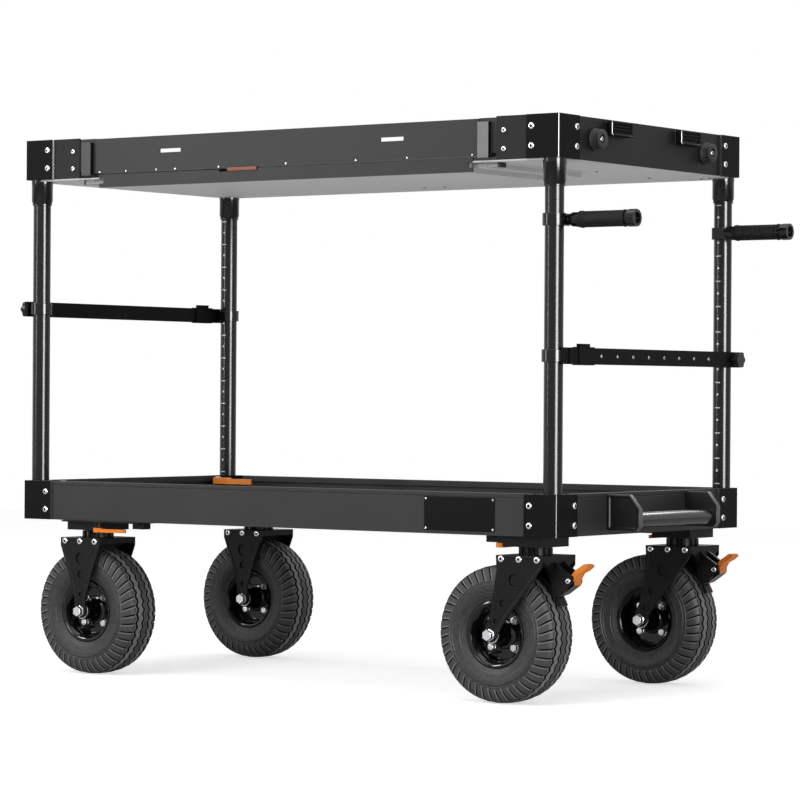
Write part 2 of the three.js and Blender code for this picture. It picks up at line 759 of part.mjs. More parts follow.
// The brake bracket: two side plates with the lever's pivot pin, under a gusset at the fork's front end.
function brakeBracket() {
  const underside = forkTop - forkBlockThickness + joinDepth;
  const place = ([a, b]) => [brakePivotX + a * brakeReach, brakePivotZ + b * brakeReach];
  const front = forkHalfLength;
  const back = front - brakeGussetThickness;
  const topEdge = [[back - bracketPlateTopLength, underside], [front, underside]];
  const plate = outline([...bracketPlateShares.map(place), ...topEdge]);
  const inner = brakeHalfWidth + runningGap;
  const outer = inner + brakePlateThickness;
  const pin = rodY(brakePivotX, brakePivotZ, [-outer, outer], brakePinRadius);
  const gusset = outline([
    [-legInnerHalf, underside],
    [-outer, brakeGussetBottom],
    [outer, brakeGussetBottom],
    [legInnerHalf, underside],
  ]);
  const plates = [[-outer, -inner], [inner, outer]].map((span) => prismY(plate, span));
  return [...plates, prismX(gusset, [back, front]), pin];
}

function addFork(group, end, name) {
  const axleX = end < 0 ? 0 : -casterTrail;
  const leg = end < 0
    ? legSolids(axleX, rigidLegShares, rigidHoleShares, rigidBossArc)
    : legSolids(axleX, swivelLegShares, swivelHoleShares, swivelBossArc);
  const half = forkHalfLength;
  const inner = legInnerHalf + joinDepth;
  const outer = legInnerHalf + legThickness;
  const block = box([-half, half], [-inner, inner], [forkTop - forkBlockThickness, forkTop]);
  const hub = rodZ(0, 0, [forkTop - joinDepth, platesBottom - seatGap], hubRadius, fineSides);
  const axle = rodY(axleX, axleHeight, [-outer, outer], axleRadius);
  const solids = [...leg, hub, axle];
  for (const side of [-1, 1]) {
    const headSpan = [side * (outer - joinDepth), side * (outer + axleHeadHeight)];
    solids.push(rodY(axleX, axleHeight, headSpan, axleHeadRadius, boltSides));
  }
  if (end > 0) solids.push(...brakeBracket());
  addPiece(group, `caster_fork_${name}`, join(block, ...solids), blackSteel);
}

// Tyre section as shares: radius from bore to tread, half width from the middle to the sidewall.
const tyreShares = [
  [0, 0.7],
  [0.14, 0.7],
  [0.32, 0.9],
  [0.59, 1],
  [0.76, 0.95],
  [0.9, 0.85],
  [0.965, 0.69],
  [1, 0.3],
];

function addWheel(group, axleX, name) {
  const wheel = addGroup(group, axleX, 0, axleHeight);
  const bore = axleRadius + runningGap;
  const barrelInner = rimBarrelRadius - rimBarrelWall;
  const flangeInner = rimHalfWidth - rimFlangeThickness;
  const halfRim = [
    [bore, hubTubeHalfLength],
    [hubTubeRadius, hubTubeHalfLength],
    [hubTubeRadius, rimWebHalfWidth],
    [barrelInner, rimWebHalfWidth],
    [barrelInner, rimHalfWidth],
    [rimRadius, rimHalfWidth],
    [rimRadius, flangeInner],
    [rimBarrelRadius, flangeInner],
  ];
  const rimProfile = [...halfRim, ...halfRim.map(([r, y]) => [r, -y]).reverse()];
  addPiece(wheel, `wheel_rim_${name}`, turnedY(rimProfile.reverse(), rimSides), glossBlack);
  const section = tyreRadius - tyreBoreRadius;
  const beadHalf = (flangeInner - seatGap) / tyreHalfWidth;
  const halfTyre = tyreShares.map(([a, b]) => [
    tyreBoreRadius + a * section,
    Math.min(b, a > rimShare() ? b : beadHalf) * tyreHalfWidth,
  ]);
  const tyreProfile = [...halfTyre, ...halfTyre.map(([r, y]) => [r, -y]).reverse()];
  addPiece(wheel, `tyre_${name}`, turnedY(tyreProfile.reverse(), tyreSides), rubber);
}

// The share of the tyre's section height that sits between the rim flanges.
function rimShare() {
  return (rimRadius - tyreBoreRadius) / (tyreRadius - tyreBoreRadius);
}

// Brake lever outline from its pivot, as shares of its reach: the toe, the heel and the arm of the shoe.
const brakeLeverShares = [
  [-0.99, -0.47],
  [-0.78, -0.81],
  [-0.42, -0.68],
  [0.26, -0.21],
  [0.25, -0.08],
  [0.27, 0.04],
  [0.47, 0.37],
  [0.76, 0.51],
  [1, 0.7],
  [0.97, 0.81],
  [0.78, 0.84],
  [0.29, 0.52],
  [0.05, 0.27],
  [-0.31, 0.05],
];
const brakeShoeArc = [24, 56];

function addBrakeLever(group, name) {
  const place = ([a, b]) => [brakePivotX + a * brakeReach, brakePivotZ + b * brakeReach];
  const lever = outline(brakeLeverShares.map(place));
  const shoe = new THREE.Shape();
  const [from, to] = brakeShoeArc.map((angle) => angle * degree);
  const outerRadius = brakeShoeRadius + brakeShoeThickness;
  shoe.absarc(-casterTrail, axleHeight, outerRadius, from, to, false);
  shoe.absarc(-casterTrail, axleHeight, brakeShoeRadius, to, from, true);
  const span = [-brakeHalfWidth, brakeHalfWidth];
  const holeSpan = [-brakeHalfWidth - cutOverrun, brakeHalfWidth + cutOverrun];
  const hole = rodY(brakePivotX, brakePivotZ, holeSpan, brakePinRadius + runningGap);
  const body = join(prismY(lever, span), prismY(shoe, span));
  addPiece(group, `brake_lever_${name}`, cut(body, hole), orange);
}

function addCaster(cart, { end, side, name }) {
  const group = addGroup(cart, end < 0 ? leftCasterX : rightCasterX, side * casterY, 0);
  addFork(group, end, name);
  addWheel(group, end < 0 ? 0 : -casterTrail, name);
  if (end > 0) addBrakeLever(group, name);
}

// A split ring on a post, with its bore cut after everything is joined to it.
const ringSolid = (z, height) => rodZ(0, 0, [z - height / 2, z + height / 2], clampRadius, fineSides);
const ringBore = (z, height) =>
  rodZ(0, 0, [z - height / 2 - cutOverrun, z + height / 2 + cutOverrun], postRadius + seatGap, fineSides);

function addPushHandle(cart, side, name) {
  const group = addGroup(cart, halfLength - postInset, side * (halfWidth - postInset), handleHeight);
  const inward = -side;
  const axisY = inward * handleOffset;
  const tongueY = [axisY - handleTongueThickness / 2, axisY + handleTongueThickness / 2];
  const blockY = [inward * (handleOffset + handleTongueThickness / 2), inward * clampBlockDepth / 2];
  const block = box([-clampBlockBack, clampBlockFront], blockY, [-clampHeight / 2, clampHeight / 2]);
  const arm = box([0, handlePivotX], tongueY, [-handleTongueRadius, handleTongueRadius]);
  const eye = rodY(handlePivotX, 0, tongueY, handleTongueRadius);
  const pinRoom = [axisY - knuckleRadius, axisY + knuckleRadius];
  const eyeHole = rodY(handlePivotX, 0, pinRoom, handlePinRadius + runningGap);
  const clamp = cut(join(ringSolid(0, clampHeight), block, arm, eye), ringBore(0, clampHeight), eyeHole);
  addPiece(group, `push_handle_clamp_${name}`, clamp, blackBracket);

  const slotHalf = handleTongueThickness / 2 + runningGap;
  const barrel = rodX(axisY, 0, [handlePivotX - knuckleRadius, knuckleSlotEnd + joinDepth], knuckleRadius);
  const noseY = [axisY - knuckleRadius, axisY + knuckleRadius];
  const nose = join(
    rodY(handlePivotX, 0, noseY, knuckleNoseRadius, fineSides),
    box([handlePivotX, knuckleSlotEnd + joinDepth], noseY, [-knuckleRadius, knuckleRadius]),
  );
  const slot = box(
    [handlePivotX - knuckleRadius - cutOverrun, knuckleSlotEnd],
    [axisY - slotHalf, axisY + slotHalf],
    [-knuckleRadius, knuckleRadius],
  );
  const pinReach = Math.sqrt(knuckleRadius ** 2 - handlePinRadius ** 2) - joinDepth;
  const pin = rodY(handlePivotX, 0, [axisY - pinReach, axisY + pinReach], handlePinRadius);
  const grip = rodX(axisY, 0, [knuckleEnd, gripEnd], gripRadius);
  const gripCore = cut(grip, slot);
  const neck = rodX(axisY, 0, [gripEnd - joinDepth, neckEnd + joinDepth], neckRadius);
  const cap = rodX(axisY, 0, [neckEnd, gripCapEnd], gripCapRadius);
  const recess = rodX(axisY, 0, [gripCapEnd - gripCapRecess, gripCapEnd + cutOverrun], gripCapRecessRadius);
  const knuckle = cut(barrel.intersect(nose), slot);
  const body = join(knuckle, pin, gripCore, neck, cut(cap, recess));
  addPiece(group, `push_handle_grip_${name}`, body, gripRubber);
}

// A cross bar lies outside the posts of one end. It is made for the right end, starting at the front
// post, and the left one is the same piece turned half round.
function addCrossBar(cart, end, height, name) {
  const group = addGroup(cart, 0, 0, height);
  group.rotation.z = end > 0 ? 0 : Math.PI;
  const postX = halfLength - postInset;
  const postY = halfWidth - postInset;
  const toPost = (solid, y) => solid.translate([postX, y, 0]);
  const bossX = [clampRadius - clampWall, barBossReach];
  const bossWidth = [-barBossHalfWidth, barBossHalfWidth];
  const ringAt = (y) => {
    const ring = join(ringSolid(0, barRingHeight), box(bossX, bossWidth, bossWidth));
    return toPost(cut(ring, ringBore(0, barRingHeight)), y);
  };
  const startRing = ringAt(-postY);
  const endRing = ringAt(postY);
  const barX = [postX + barStart, postX + barStart + barThickness];
  const bar = box(barX, [-postY - barBossHalfWidth, postY + barPastPost], [-barHalfHeight, barHalfHeight]);
  const sleeveX = [barX[0] - barSleeveWall, barX[1] + barSleeveWall];
  const sleeveHalf = barHalfHeight + barSleeveExtraHeight;
  const blockY = [-postY + barBlockStart, -postY + barSleeveStart];
  const block = box(sleeveX, blockY, [-barHalfHeight, barHalfHeight]);
  const sleeveY = [-postY + barSleeveStart - joinDepth, -postY + barSleeveEnd];
  const sleeveOuterX = [sleeveX[0] - barSleeveWall, sleeveX[1] + barSleeveWall];
  const sleeve = box(sleeveOuterX, sleeveY, [-sleeveHalf, sleeveHalf]);
  const tabY = [-postY + barTabStart, -postY + barTabEnd];
  const tab = box(barX, tabY, [sleeveHalf - joinDepth, sleeveHalf + barTabHeight]);
  const slot = box(
    [postX + clampRadius - clampWall - cutOverrun, barX[1] + cutOverrun],
    [postY - barSlotLength, postY + barBossHalfWidth - sheetThickness],
    [-barSlotHalfHeight, barSlotHalfHeight],
  );
  const stub = toPost(ringBore(0, barRingHeight), postY);
  const body = cut(join(startRing, endRing, bar, block, sleeve, tab), cut(slot, stub));
  addPiece(group, `cross_bar_${name}`, body, blackBracket);

  const knobGroup = addGroup(group, barX[1] + seatGap, postY, 0);
  const lobes = [];
  for (let step = 0; step < knobSides; step += 1) {
    const angle = (step / knobSides) * 2 * Math.PI;
    const radius = knobRadius + knobLobe * Math.cos(boltSides * angle) - knobLobe;
    lobes.push([radius * Math.cos(angle), radius * Math.sin(angle)]);
  }
  const head = prismX(outline(lobes), [0, knobThickness]);
  const studSpan = [-barThickness - knobStudReach, joinDepth];
  const stud = rodX(0, 0, studSpan, knobStudRadius);
  addPiece(knobGroup, `cross_bar_knob_${name}`, join(head, stud), blackPlastic);
}

// Assembly
const object = new THREE.Group();
const cart = addGroup(object, (liftReach - pushHandleReach) / 2, 0, 0);

const lowerFrame = addGroup(cart, 0, 0, lowerFrameBottom);
const lowerFront = addGroup(lowerFrame, 0, -halfWidth, 0);
addPiece(lowerFront, 'lower_rail_front', lengthRail(-1, lowerFrameHeight), blackRail);
const lowerRear = addGroup(lowerFrame, 0, halfWidth, 0);
addPiece(lowerRear, 'lower_rail_rear', lengthRail(1, lowerFrameHeight), blackRail);
const lowerLeft = addGroup(lowerFrame, -halfLength, 0, 0);
addPiece(lowerLeft, 'lower_rail_left', endRail(-1, lowerFrameHeight), blackRail);
const lowerRight = addGroup(lowerFrame, halfLength, 0, 0);
addPiece(lowerRight, 'lower_rail_right', endRail(1, lowerFrameHeight), blackRail);
addLowerDeck(lowerFrame);
addLiftHandle(lowerFrame, -1, 'lift_handle_left');
addLiftHandle(lowerFrame, 1, 'lift_handle_right');

const upperFrame = addGroup(cart, 0, 0, upperFrameBottom);
const upperRear = addGroup(upperFrame, 0, halfWidth, 0);
addPiece(upperRear, 'upper_rail_rear', lengthRail(1, upperFrameHeight), blackRail);
addUpperEndRail(upperFrame, -1, 'upper_rail_left');
addUpperEndRail(upperFrame, 1, 'upper_rail_right');
addFrontWall(upperFrame);
addUpperDeck(upperFrame);
addShelf(upperFrame);

for (const corner of corners) {
  addLowerCorner(lowerFrame, corner);
  addPostLatch(lowerFrame, corner);
  addUpperCorner(upperFrame, corner);
  addPost(cart, corner);
  addCasterPlate(cart, corner);
  addReleaseLever(cart, corner);
  addCaster(cart, corner);
}

addPushHandle(cart, -1, 'front');
addPushHandle(cart, 1, 'rear');
addCrossBar(cart, 1, rightBarHeight, 'right');
addCrossBar(cart, -1, leftBarHeight, 'left');

export default object;
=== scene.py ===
import contextlib
import json
import math

import bpy
from mathutils import Matrix, Vector

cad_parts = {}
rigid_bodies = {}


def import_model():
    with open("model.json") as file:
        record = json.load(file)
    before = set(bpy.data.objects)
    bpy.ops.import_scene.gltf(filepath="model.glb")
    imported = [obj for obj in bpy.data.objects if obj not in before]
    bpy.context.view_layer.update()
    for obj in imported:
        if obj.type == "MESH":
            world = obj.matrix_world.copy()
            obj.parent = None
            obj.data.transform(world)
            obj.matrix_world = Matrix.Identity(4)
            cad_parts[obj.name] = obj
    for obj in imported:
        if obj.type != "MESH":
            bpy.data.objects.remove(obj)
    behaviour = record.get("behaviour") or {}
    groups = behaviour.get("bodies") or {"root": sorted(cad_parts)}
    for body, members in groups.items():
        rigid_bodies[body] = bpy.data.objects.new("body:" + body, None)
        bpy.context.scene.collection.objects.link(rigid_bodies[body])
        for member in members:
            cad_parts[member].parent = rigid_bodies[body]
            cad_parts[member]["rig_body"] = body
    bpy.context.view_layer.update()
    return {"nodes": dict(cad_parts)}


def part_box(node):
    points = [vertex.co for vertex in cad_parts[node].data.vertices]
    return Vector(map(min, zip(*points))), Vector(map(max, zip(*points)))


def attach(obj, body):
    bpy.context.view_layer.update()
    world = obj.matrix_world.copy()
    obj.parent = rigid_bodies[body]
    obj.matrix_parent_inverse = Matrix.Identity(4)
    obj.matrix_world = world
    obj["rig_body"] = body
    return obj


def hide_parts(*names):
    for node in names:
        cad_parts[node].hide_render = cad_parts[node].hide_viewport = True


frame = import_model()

mm = 0.001
scene = bpy.context.scene

# The studio
# The cart stands on a pale floor under a white sky, lit softly from above and from the front.
# Strips that are only mirrored draw the bright lines down the posts and pick out level edges.
cart_middle = (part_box("lower_rail_front")[0].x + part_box("lower_rail_front")[1].x) / 2
camera_place = (cart_middle + 3.920, -5.383, 0.5825)
camera_yaw = math.radians(35.63)
camera_pitch = math.radians(-0.10)
camera_roll = math.radians(0.37)
lamps_aim = Vector((0.0, 0.0, 0.6))
sky_light = 0.38
floor_glow = 0.62


def linear(code):
    """An sRGB hex colour as the linear colour that a shader takes."""
    channels = [int(code[i:i + 2], 16) / 255 for i in (0, 2, 4)]
    return [c / 12.92 if c <= 0.04045 else ((c + 0.055) / 1.055) ** 2.4 for c in channels] + [1.0]


def with_nodes(owner):
    """A material or world with an empty node tree."""
    owner.use_nodes = True
    owner.node_tree.nodes.clear()
    return owner


def add_node(owner, kind, inputs=None, **settings):
    """Adds a shader node. An input given as a socket is linked, and any other value is set."""
    node = owner.node_tree.nodes.new("ShaderNode" + kind)
    for name, value in settings.items():
        setattr(node, name, value)
    for name, value in (inputs or {}).items():
        if isinstance(value, bpy.types.NodeSocket):
            owner.node_tree.links.new(value, node.inputs[name])
        else:
            node.inputs[name].default_value = value
    return node


def calculate(owner, operation, *values):
    """Adds a math node on sockets or numbers, and gives its result."""
    return add_node(owner, "Math", dict(enumerate(values)), operation=operation).outputs[0]


def select_only(*objects):
    """Selects these objects alone, the first one active."""
    bpy.ops.object.select_all(action="DESELECT")
    for chosen in objects:
        chosen.select_set(True)
    bpy.context.view_layer.objects.active = objects[0]


lens = bpy.data.cameras.new("camera")
lens.sensor_width = 36.0
lens.lens = 146.1
lens.clip_end = 60.0
camera = bpy.data.objects.new("camera", lens)
scene.collection.objects.link(camera)
aim = Matrix.Rotation(camera_yaw, 4, "Z") @ Matrix.Rotation(math.pi / 2 + camera_pitch, 4, "X")
camera.matrix_world = Matrix.Translation(camera_place) @ aim @ Matrix.Rotation(camera_roll, 4, "Z")
scene.camera = camera
scene.view_settings.view_transform = "Standard"


def softbox(name, place, width, height, power, mirrored_only=False):
    """A rectangular area lamp. One that is only mirrored draws highlights and lights no colour."""
    lamp = bpy.data.lights.new(name, "AREA")
    lamp.shape = "RECTANGLE"
    lamp.size = width
    lamp.size_y = height
    lamp.energy = power
    holder = bpy.data.objects.new(name, lamp)
    facing = (lamps_aim - Vector(place)).to_track_quat("-Z", "Y")
    holder.matrix_world = Matrix.Translation(place) @ facing.to_matrix().to_4x4()
    holder.visible_diffuse = not mirrored_only
    scene.collection.objects.link(holder)


softbox("overhead", (0.3, -0.6, 3.6), 3.2, 3.2, 60)
softbox("front", (-0.6, -4.8, 2.6), 2.4, 1.6, 85)
softbox("right_strip", (5.5, -2.4, 1.1), 2.4, 3.0, 800, mirrored_only=True)
softbox("left_strip", (-3.4, -4.2, 1.5), 0.4, 2.0, 60, mirrored_only=True)
softbox("rear_strip", (1.0, 4.1, 3.3), 2.4, 0.6, 60, mirrored_only=True)
softbox("high_left_strip", (-2.9, -2.0, 4.1), 2.4, 0.5, 130, mirrored_only=True)

world = with_nodes(bpy.data.worlds.new("studio"))
rays = add_node(world, "LightPath").outputs
seen = calculate(world, "MAXIMUM", rays["Is Camera Ray"], rays["Is Transmission Ray"])
seen_or_mirrored = calculate(world, "MAXIMUM", seen, rays["Is Glossy Ray"])
strength = add_node(world, "MapRange", {"Value": seen_or_mirrored, "To Min": sky_light, "To Max": 1.0})
sky = add_node(world, "Background", {"Color": (1, 1, 1, 1), "Strength": strength.outputs[0]})
add_node(world, "OutputWorld", {"Surface": sky.outputs[0]})
scene.world = world

bpy.ops.mesh.primitive_plane_add(size=14.0)
floor = bpy.context.object
floor.name = "floor"
pale_floor = with_nodes(bpy.data.materials.new("pale_painted_floor"))
paint = add_node(pale_floor, "BsdfDiffuse", {"Color": linear("f2f2f2")})
on_camera = add_node(pale_floor, "LightPath").outputs["Is Camera Ray"]
glow_strength = calculate(pale_floor, "MULTIPLY", on_camera, floor_glow)
glow = add_node(pale_floor, "Emission", {"Color": (1, 1, 1, 1), "Strength": glow_strength})
lit = add_node(pale_floor, "AddShader", {0: paint.outputs[0], 1: glow.outputs[0]})
add_node(pale_floor, "OutputMaterial", {"Surface": lit.outputs[0]})
floor.data.materials.append(pale_floor)

# Rails of both frames
# Folded aluminium sheet, 3 mm thick: a lip along the top ends in a turned down hem, and a flange closes the
# bottom. A lower rail has a fine line below its top fold. The sheet is blasted and anodised black.
rail_wall = 3 * mm
rail_lip = 12 * mm
hem_depth = 9.5 * mm
line_below_top = 7.5 * mm
line_width = 1.6 * mm
line_depth = 1.1 * mm
weld = 0.01 * mm
fine_weld = 0.002 * mm
near_face = 0.1 * mm


def two_tones(material, factor, dark, light):
    """Mixes two hex colours by a factor, and gives the result."""
    mix = add_node(material, "Mix", {"Factor": factor}, data_type="RGBA")
    mix.inputs["A"].default_value = linear(dark)
    mix.inputs["B"].default_value = linear(light)
    return mix.outputs["Result"]


def ranged(material, value, low, high):
    """Maps a value between 0 and 1 to a range, and gives the result."""
    return add_node(material, "MapRange", {"Value": value, "To Min": low, "To Max": high}).outputs["Result"]


def shaded(material, inputs):
    """Ends a material in one shader with these inputs."""
    body = add_node(material, "BsdfPrincipled", inputs)
    add_node(material, "OutputMaterial", {"Surface": body.outputs[0]})
    return material


def grained(name, dark, light, rough, grain, depth, specular=0.5, metallic=0.0):
    """A finish in two cloudy tones. Its grain, sized in mm, makes the roughness and the bump."""
    material = with_nodes(bpy.data.materials.new(name))
    place = add_node(material, "TexCoord").outputs["Object"]
    fine = add_node(material, "TexNoise", {"Vector": place, "Scale": 1 / (grain * mm), "Detail": 3.0})
    clouds = add_node(material, "TexNoise", {"Vector": place, "Scale": 6.0, "Detail": 2.0})
    height = fine.outputs["Fac"]
    bump = add_node(material, "Bump", {"Height": height, "Distance": depth * mm, "Strength": 0.6})
    return shaded(material, {
        "Base Color": two_tones(material, clouds.outputs["Fac"], dark, light),
        "Roughness": ranged(material, height, *rough),
        "Normal": bump.outputs["Normal"],
        "Metallic": metallic,
        "Specular IOR Level": specular,
    })


@contextlib.contextmanager
def edit_mode(chosen=None, kind=None):
    """Edit mode on the active piece, with a kind of element and with all or nothing selected if asked."""
    bpy.ops.object.mode_set(mode="EDIT")
    if kind:
        bpy.ops.mesh.select_mode(type=kind)
    if chosen:
        bpy.ops.mesh.select_all(action=chosen)
    yield
    bpy.ops.object.mode_set(mode="OBJECT")


def dress(piece, material, body):
    """Gives a piece its finish as its one material slot, and the body that it moves with."""
    piece.data.materials.clear()
    piece.data.materials.append(material)
    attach(piece, body)


def paint_faces(piece, finishes, choice):
    """Adds finishes to a dressed piece. A test on each face gives the number of its finish, from 0."""
    for finish in finishes:
        piece.data.materials.append(finish)
    for face in piece.data.polygons:
        face.material_index = int(choice(face))


def copied(name, cuts=(), label="piece", flats=False):
    """A merged copy of a CAD node's mesh, without what lies past each cutting plane."""
    piece = bpy.data.objects.new(f"{name}_{label}", frame["nodes"][name].data.copy())
    scene.collection.objects.link(piece)
    select_only(piece)
    with edit_mode("SELECT"):
        bpy.ops.mesh.remove_doubles(threshold=weld)
        for point, normal in cuts:
            bpy.ops.mesh.select_all(action="SELECT")
            bpy.ops.mesh.bisect(plane_co=point, plane_no=normal, clear_outer=True, use_fill=True)
        bpy.ops.mesh.select_all(action="SELECT")
        if flats:
            bpy.ops.mesh.dissolve_limited(angle_limit=math.radians(0.5))
        else:
            bpy.ops.mesh.tris_convert_to_quads(face_threshold=math.radians(0.5), shape_threshold=math.pi)
        bpy.ops.mesh.select_all(action="DESELECT")
    return piece


def soften(piece, edge, segments=2):
    """Rounds the sharp edges of a piece and shades it smooth between its flats."""
    select_only(piece)
    bevel = piece.modifiers.new("edge", "BEVEL")
    bevel.width = edge
    bevel.segments = segments
    bevel.limit_method = "ANGLE"
    bevel.angle_limit = math.radians(40)
    bpy.ops.object.modifier_apply(modifier=bevel.name)
    bpy.ops.object.shade_smooth_by_angle(angle=math.radians(38))
    flat = piece.modifiers.new("flat", "WEIGHTED_NORMAL")
    flat.keep_sharp = True
    bpy.ops.object.modifier_apply(modifier=flat.name)


def stand_in(piece, name, edge, material):
    """Softens a piece, dresses it as its CAD node is, and lets it stand for that node."""
    soften(piece, edge)
    dress(piece, material, frame["nodes"][name]["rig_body"])
    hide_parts(name)
    return piece


def choose_faces(piece, wanted):
    """Selects the faces for which a test on their centre and normal holds, alone and in object mode."""
    chosen = [bool(wanted(face.center, face.normal)) for face in piece.data.polygons]
    piece.data.polygons.foreach_set("select", chosen)
    piece.data.edges.foreach_set("select", [False] * len(piece.data.edges))
    piece.data.vertices.foreach_set("select", [False] * len(piece.data.vertices))
    select_only(piece)


def slice_all(piece, *planes):
    """Cuts edges into the mesh along each plane and keeps both sides."""
    select_only(piece)
    with edit_mode():
        for point, normal in planes:
            bpy.ops.mesh.select_all(action="SELECT")
            bpy.ops.mesh.bisect(plane_co=point, plane_no=normal)
        bpy.ops.mesh.select_all(action="DESELECT")


def push_faces(piece, wanted, shift):
    """Extrudes the chosen faces by a shift."""
    choose_faces(piece, wanted)
    with edit_mode(kind="FACE"):
        bpy.ops.mesh.extrude_region_move(TRANSFORM_OT_translate={"value": shift})


def folded_rail(name, outward, cuts=()):
    """A rail with its hem, and a fine line on a lower one. Outward is the unit vector out of the frame."""
    out = Vector(outward)
    rail = copied(name, cuts)
    corners = [Vector(v.co) for v in rail.data.vertices]
    top = max(v.z for v in corners)
    face = max(v.dot(out) for v in corners)
    lip_edge = face - rail_lip + rail_wall
    line_top = top - line_below_top
    levels = [((0, 0, z), (0, 0, 1)) for z in (line_top, line_top - line_width)]
    slice_all(rail, *levels, (out * lip_edge, out))

    def in_line(centre, normal):
        below = top - centre.z
        on_face = abs(centre.dot(out) - face) < near_face and normal.dot(out) > 0.9
        return on_face and line_below_top < below < line_below_top + line_width

    def under_lip(centre, normal):
        level = abs(centre.z - top + rail_wall) < near_face
        return level and normal.z < -0.9 and centre.dot(out) < lip_edge

    if name.startswith("lower"):
        push_faces(rail, in_line, -out * line_depth)
    push_faces(rail, under_lip, (0, 0, -hem_depth))
    return rail


anodised_sheet = grained("black_anodised_sheet", "343435", "3e3e3f", (0.34, 0.42), 1.2, 0.05, specular=0.12)
rails = {
    "lower_rail_front": (0, -1, 0),
    "lower_rail_rear": (0, 1, 0),
    "lower_rail_left": (-1, 0, 0),
    "lower_rail_right": (1, 0, 0),
    "upper_rail_rear": (0, 1, 0),
}
for rail_name, outward in rails.items():
    stand_in(folded_rail(rail_name, outward), rail_name, 0.6 * mm, anodised_sheet)

# Decks
# Flat aluminium sheets that close both frames, the upper one with the fixed slide members under it.
# Their undersides are plain grey with a dull sheen, and the slide members are zinc plated steel.
slide_steel = grained("dull_zinc_slide", "77787a", "8c8d8f", (0.4, 0.5), 1.5, 0.02, metallic=0.2)
zinc = grained("bright_zinc_plate", "b4b6b9", "cfd1d4", (0.2, 0.3), 1.5, 0.02, metallic=1.0)
deck_sheet = grained("grey_deck_sheet", "c0c0c0", "cccccc", (0.45, 0.55), 2.0, 0.03, specular=0.3)
dark_screw = grained("black_oxide_screw", "202021", "2a2a2b", (0.3, 0.4), 1.2, 0.02, metallic=0.8)
deck_edge = 0.4 * mm
deck_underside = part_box("upper_deck")[1].z - 3 * mm
slide_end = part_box("keyboard_shelf")[1].x + 23.5 * mm - cart_middle
slide_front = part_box("upper_deck")[0].y + 34 * mm
slide_break = slide_front + 2 * mm
bracket_near = slide_end + 5 * mm
bracket_far = slide_end + 16 * mm
bracket_shift = 9 * mm
slide_web = 1 * mm
stand_in(copied("lower_deck"), "lower_deck", deck_edge, deck_sheet)
upper_deck = copied("upper_deck")
for vertex in upper_deck.data.vertices:
    off = vertex.co.x - cart_middle
    if bracket_near < abs(off) < bracket_far and vertex.co.z < deck_underside + near_face:
        vertex.co.x -= math.copysign(bracket_shift, off)
slice_all(upper_deck, ((0, slide_front, 0), (0, 1, 0)), ((0, slide_break, 0), (0, 1, 0)))
for vertex in upper_deck.data.vertices:
    if vertex.co.y > slide_front + 1 * mm:
        vertex.co.z = max(vertex.co.z, deck_underside - slide_web)


def deck_finish(face):
    """Zinc on the front of a slide, and dark steel on the end bracket outside it."""
    if face.center.z > deck_underside - 0.2 * mm or face.center.y > slide_front:
        return 0
    return 2 if abs(face.center.x - cart_middle) > slide_end else 1


stand_in(upper_deck, "upper_deck", deck_edge, deck_sheet)
paint_faces(upper_deck, (slide_steel, dark_screw), deck_finish)

# Corner brackets
# Machined aluminium corners with a bored socket for each post, anodised a shade darker than the rails.
# Their outer corner and leg ends carry painted highlights, bright and grey, and four zinc screws hold each
# one.
corners = [("front_left", -1, -1), ("front_right", 1, -1), ("rear_left", -1, 1), ("rear_right", 1, 1)]
both_sides = [(-1, "front"), (1, "rear")]
frame_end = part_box("lower_corner_front_right")[1].x - 3.6 * mm
frame_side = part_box("lower_corner_rear_right")[1].y - 3.6 * mm
half_length = frame_end - cart_middle
lower_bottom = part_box("lower_rail_rear")[0].z
upper_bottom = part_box("upper_rail_rear")[0].z
bracket_leg = 73 * mm
bracket_screw_inset = 60 * mm
bracket_screw_step = 37 * mm
post_inset = 24 * mm
corner_chamfer = 1.1 * mm
shave = 0.02 * mm
patterns = []


def bracket_cuts(end, side):
    """The outer faces of a corner, shaved so that the screw heads of the solid come off."""
    end_face = ((cart_middle + end * (half_length - shave), 0, 0), (end, 0, 0))
    side_face = ((0, side * (frame_side - shave), 0), (0, side, 0))
    return [end_face, side_face]


def button_screw(radius, height, socket_share=0.45):
    """A button head screw facing +Z from the origin: domed rim and a hexagonal socket. Sizes are in mm."""
    radius *= mm
    height *= mm
    middle = (0, 0, height / 2)
    bpy.ops.mesh.primitive_cylinder_add(vertices=24, radius=radius, depth=height, location=middle)
    screw = bpy.context.object
    select_only(screw)
    with edit_mode("DESELECT"):
        pass
    for edge in screw.data.edges:
        edge.select = all(screw.data.vertices[v].co.z > 0 for v in edge.vertices)
    with edit_mode():
        bpy.ops.mesh.bevel(offset=height * 0.62, segments=3, affect="EDGES")
        bpy.ops.mesh.select_all(action="DESELECT")
    screw.data.transform(Matrix.Translation((0, 0, height / 2)))
    screw.matrix_world = Matrix.Identity(4)
    for face in screw.data.polygons:
        face.select = face.normal.z > 0.99
    with edit_mode():
        bpy.ops.mesh.inset(thickness=radius * 0.12)
    hexagon(screw, radius * socket_share)
    with edit_mode():
        bpy.ops.mesh.extrude_region_move(TRANSFORM_OT_translate={"value": (0, 0, -height * 0.6)})
    bpy.ops.object.shade_smooth_by_angle(angle=math.radians(35))
    recess = screw.data.attributes.new("recess", "BOOLEAN", "FACE")
    for face in screw.data.polygons:
        within = math.hypot(face.center.x, face.center.y) < radius * socket_share * 1.02
        recess.data[face.index].value = within and face.center.z < height * 0.98
    patterns.append(screw)
    return screw


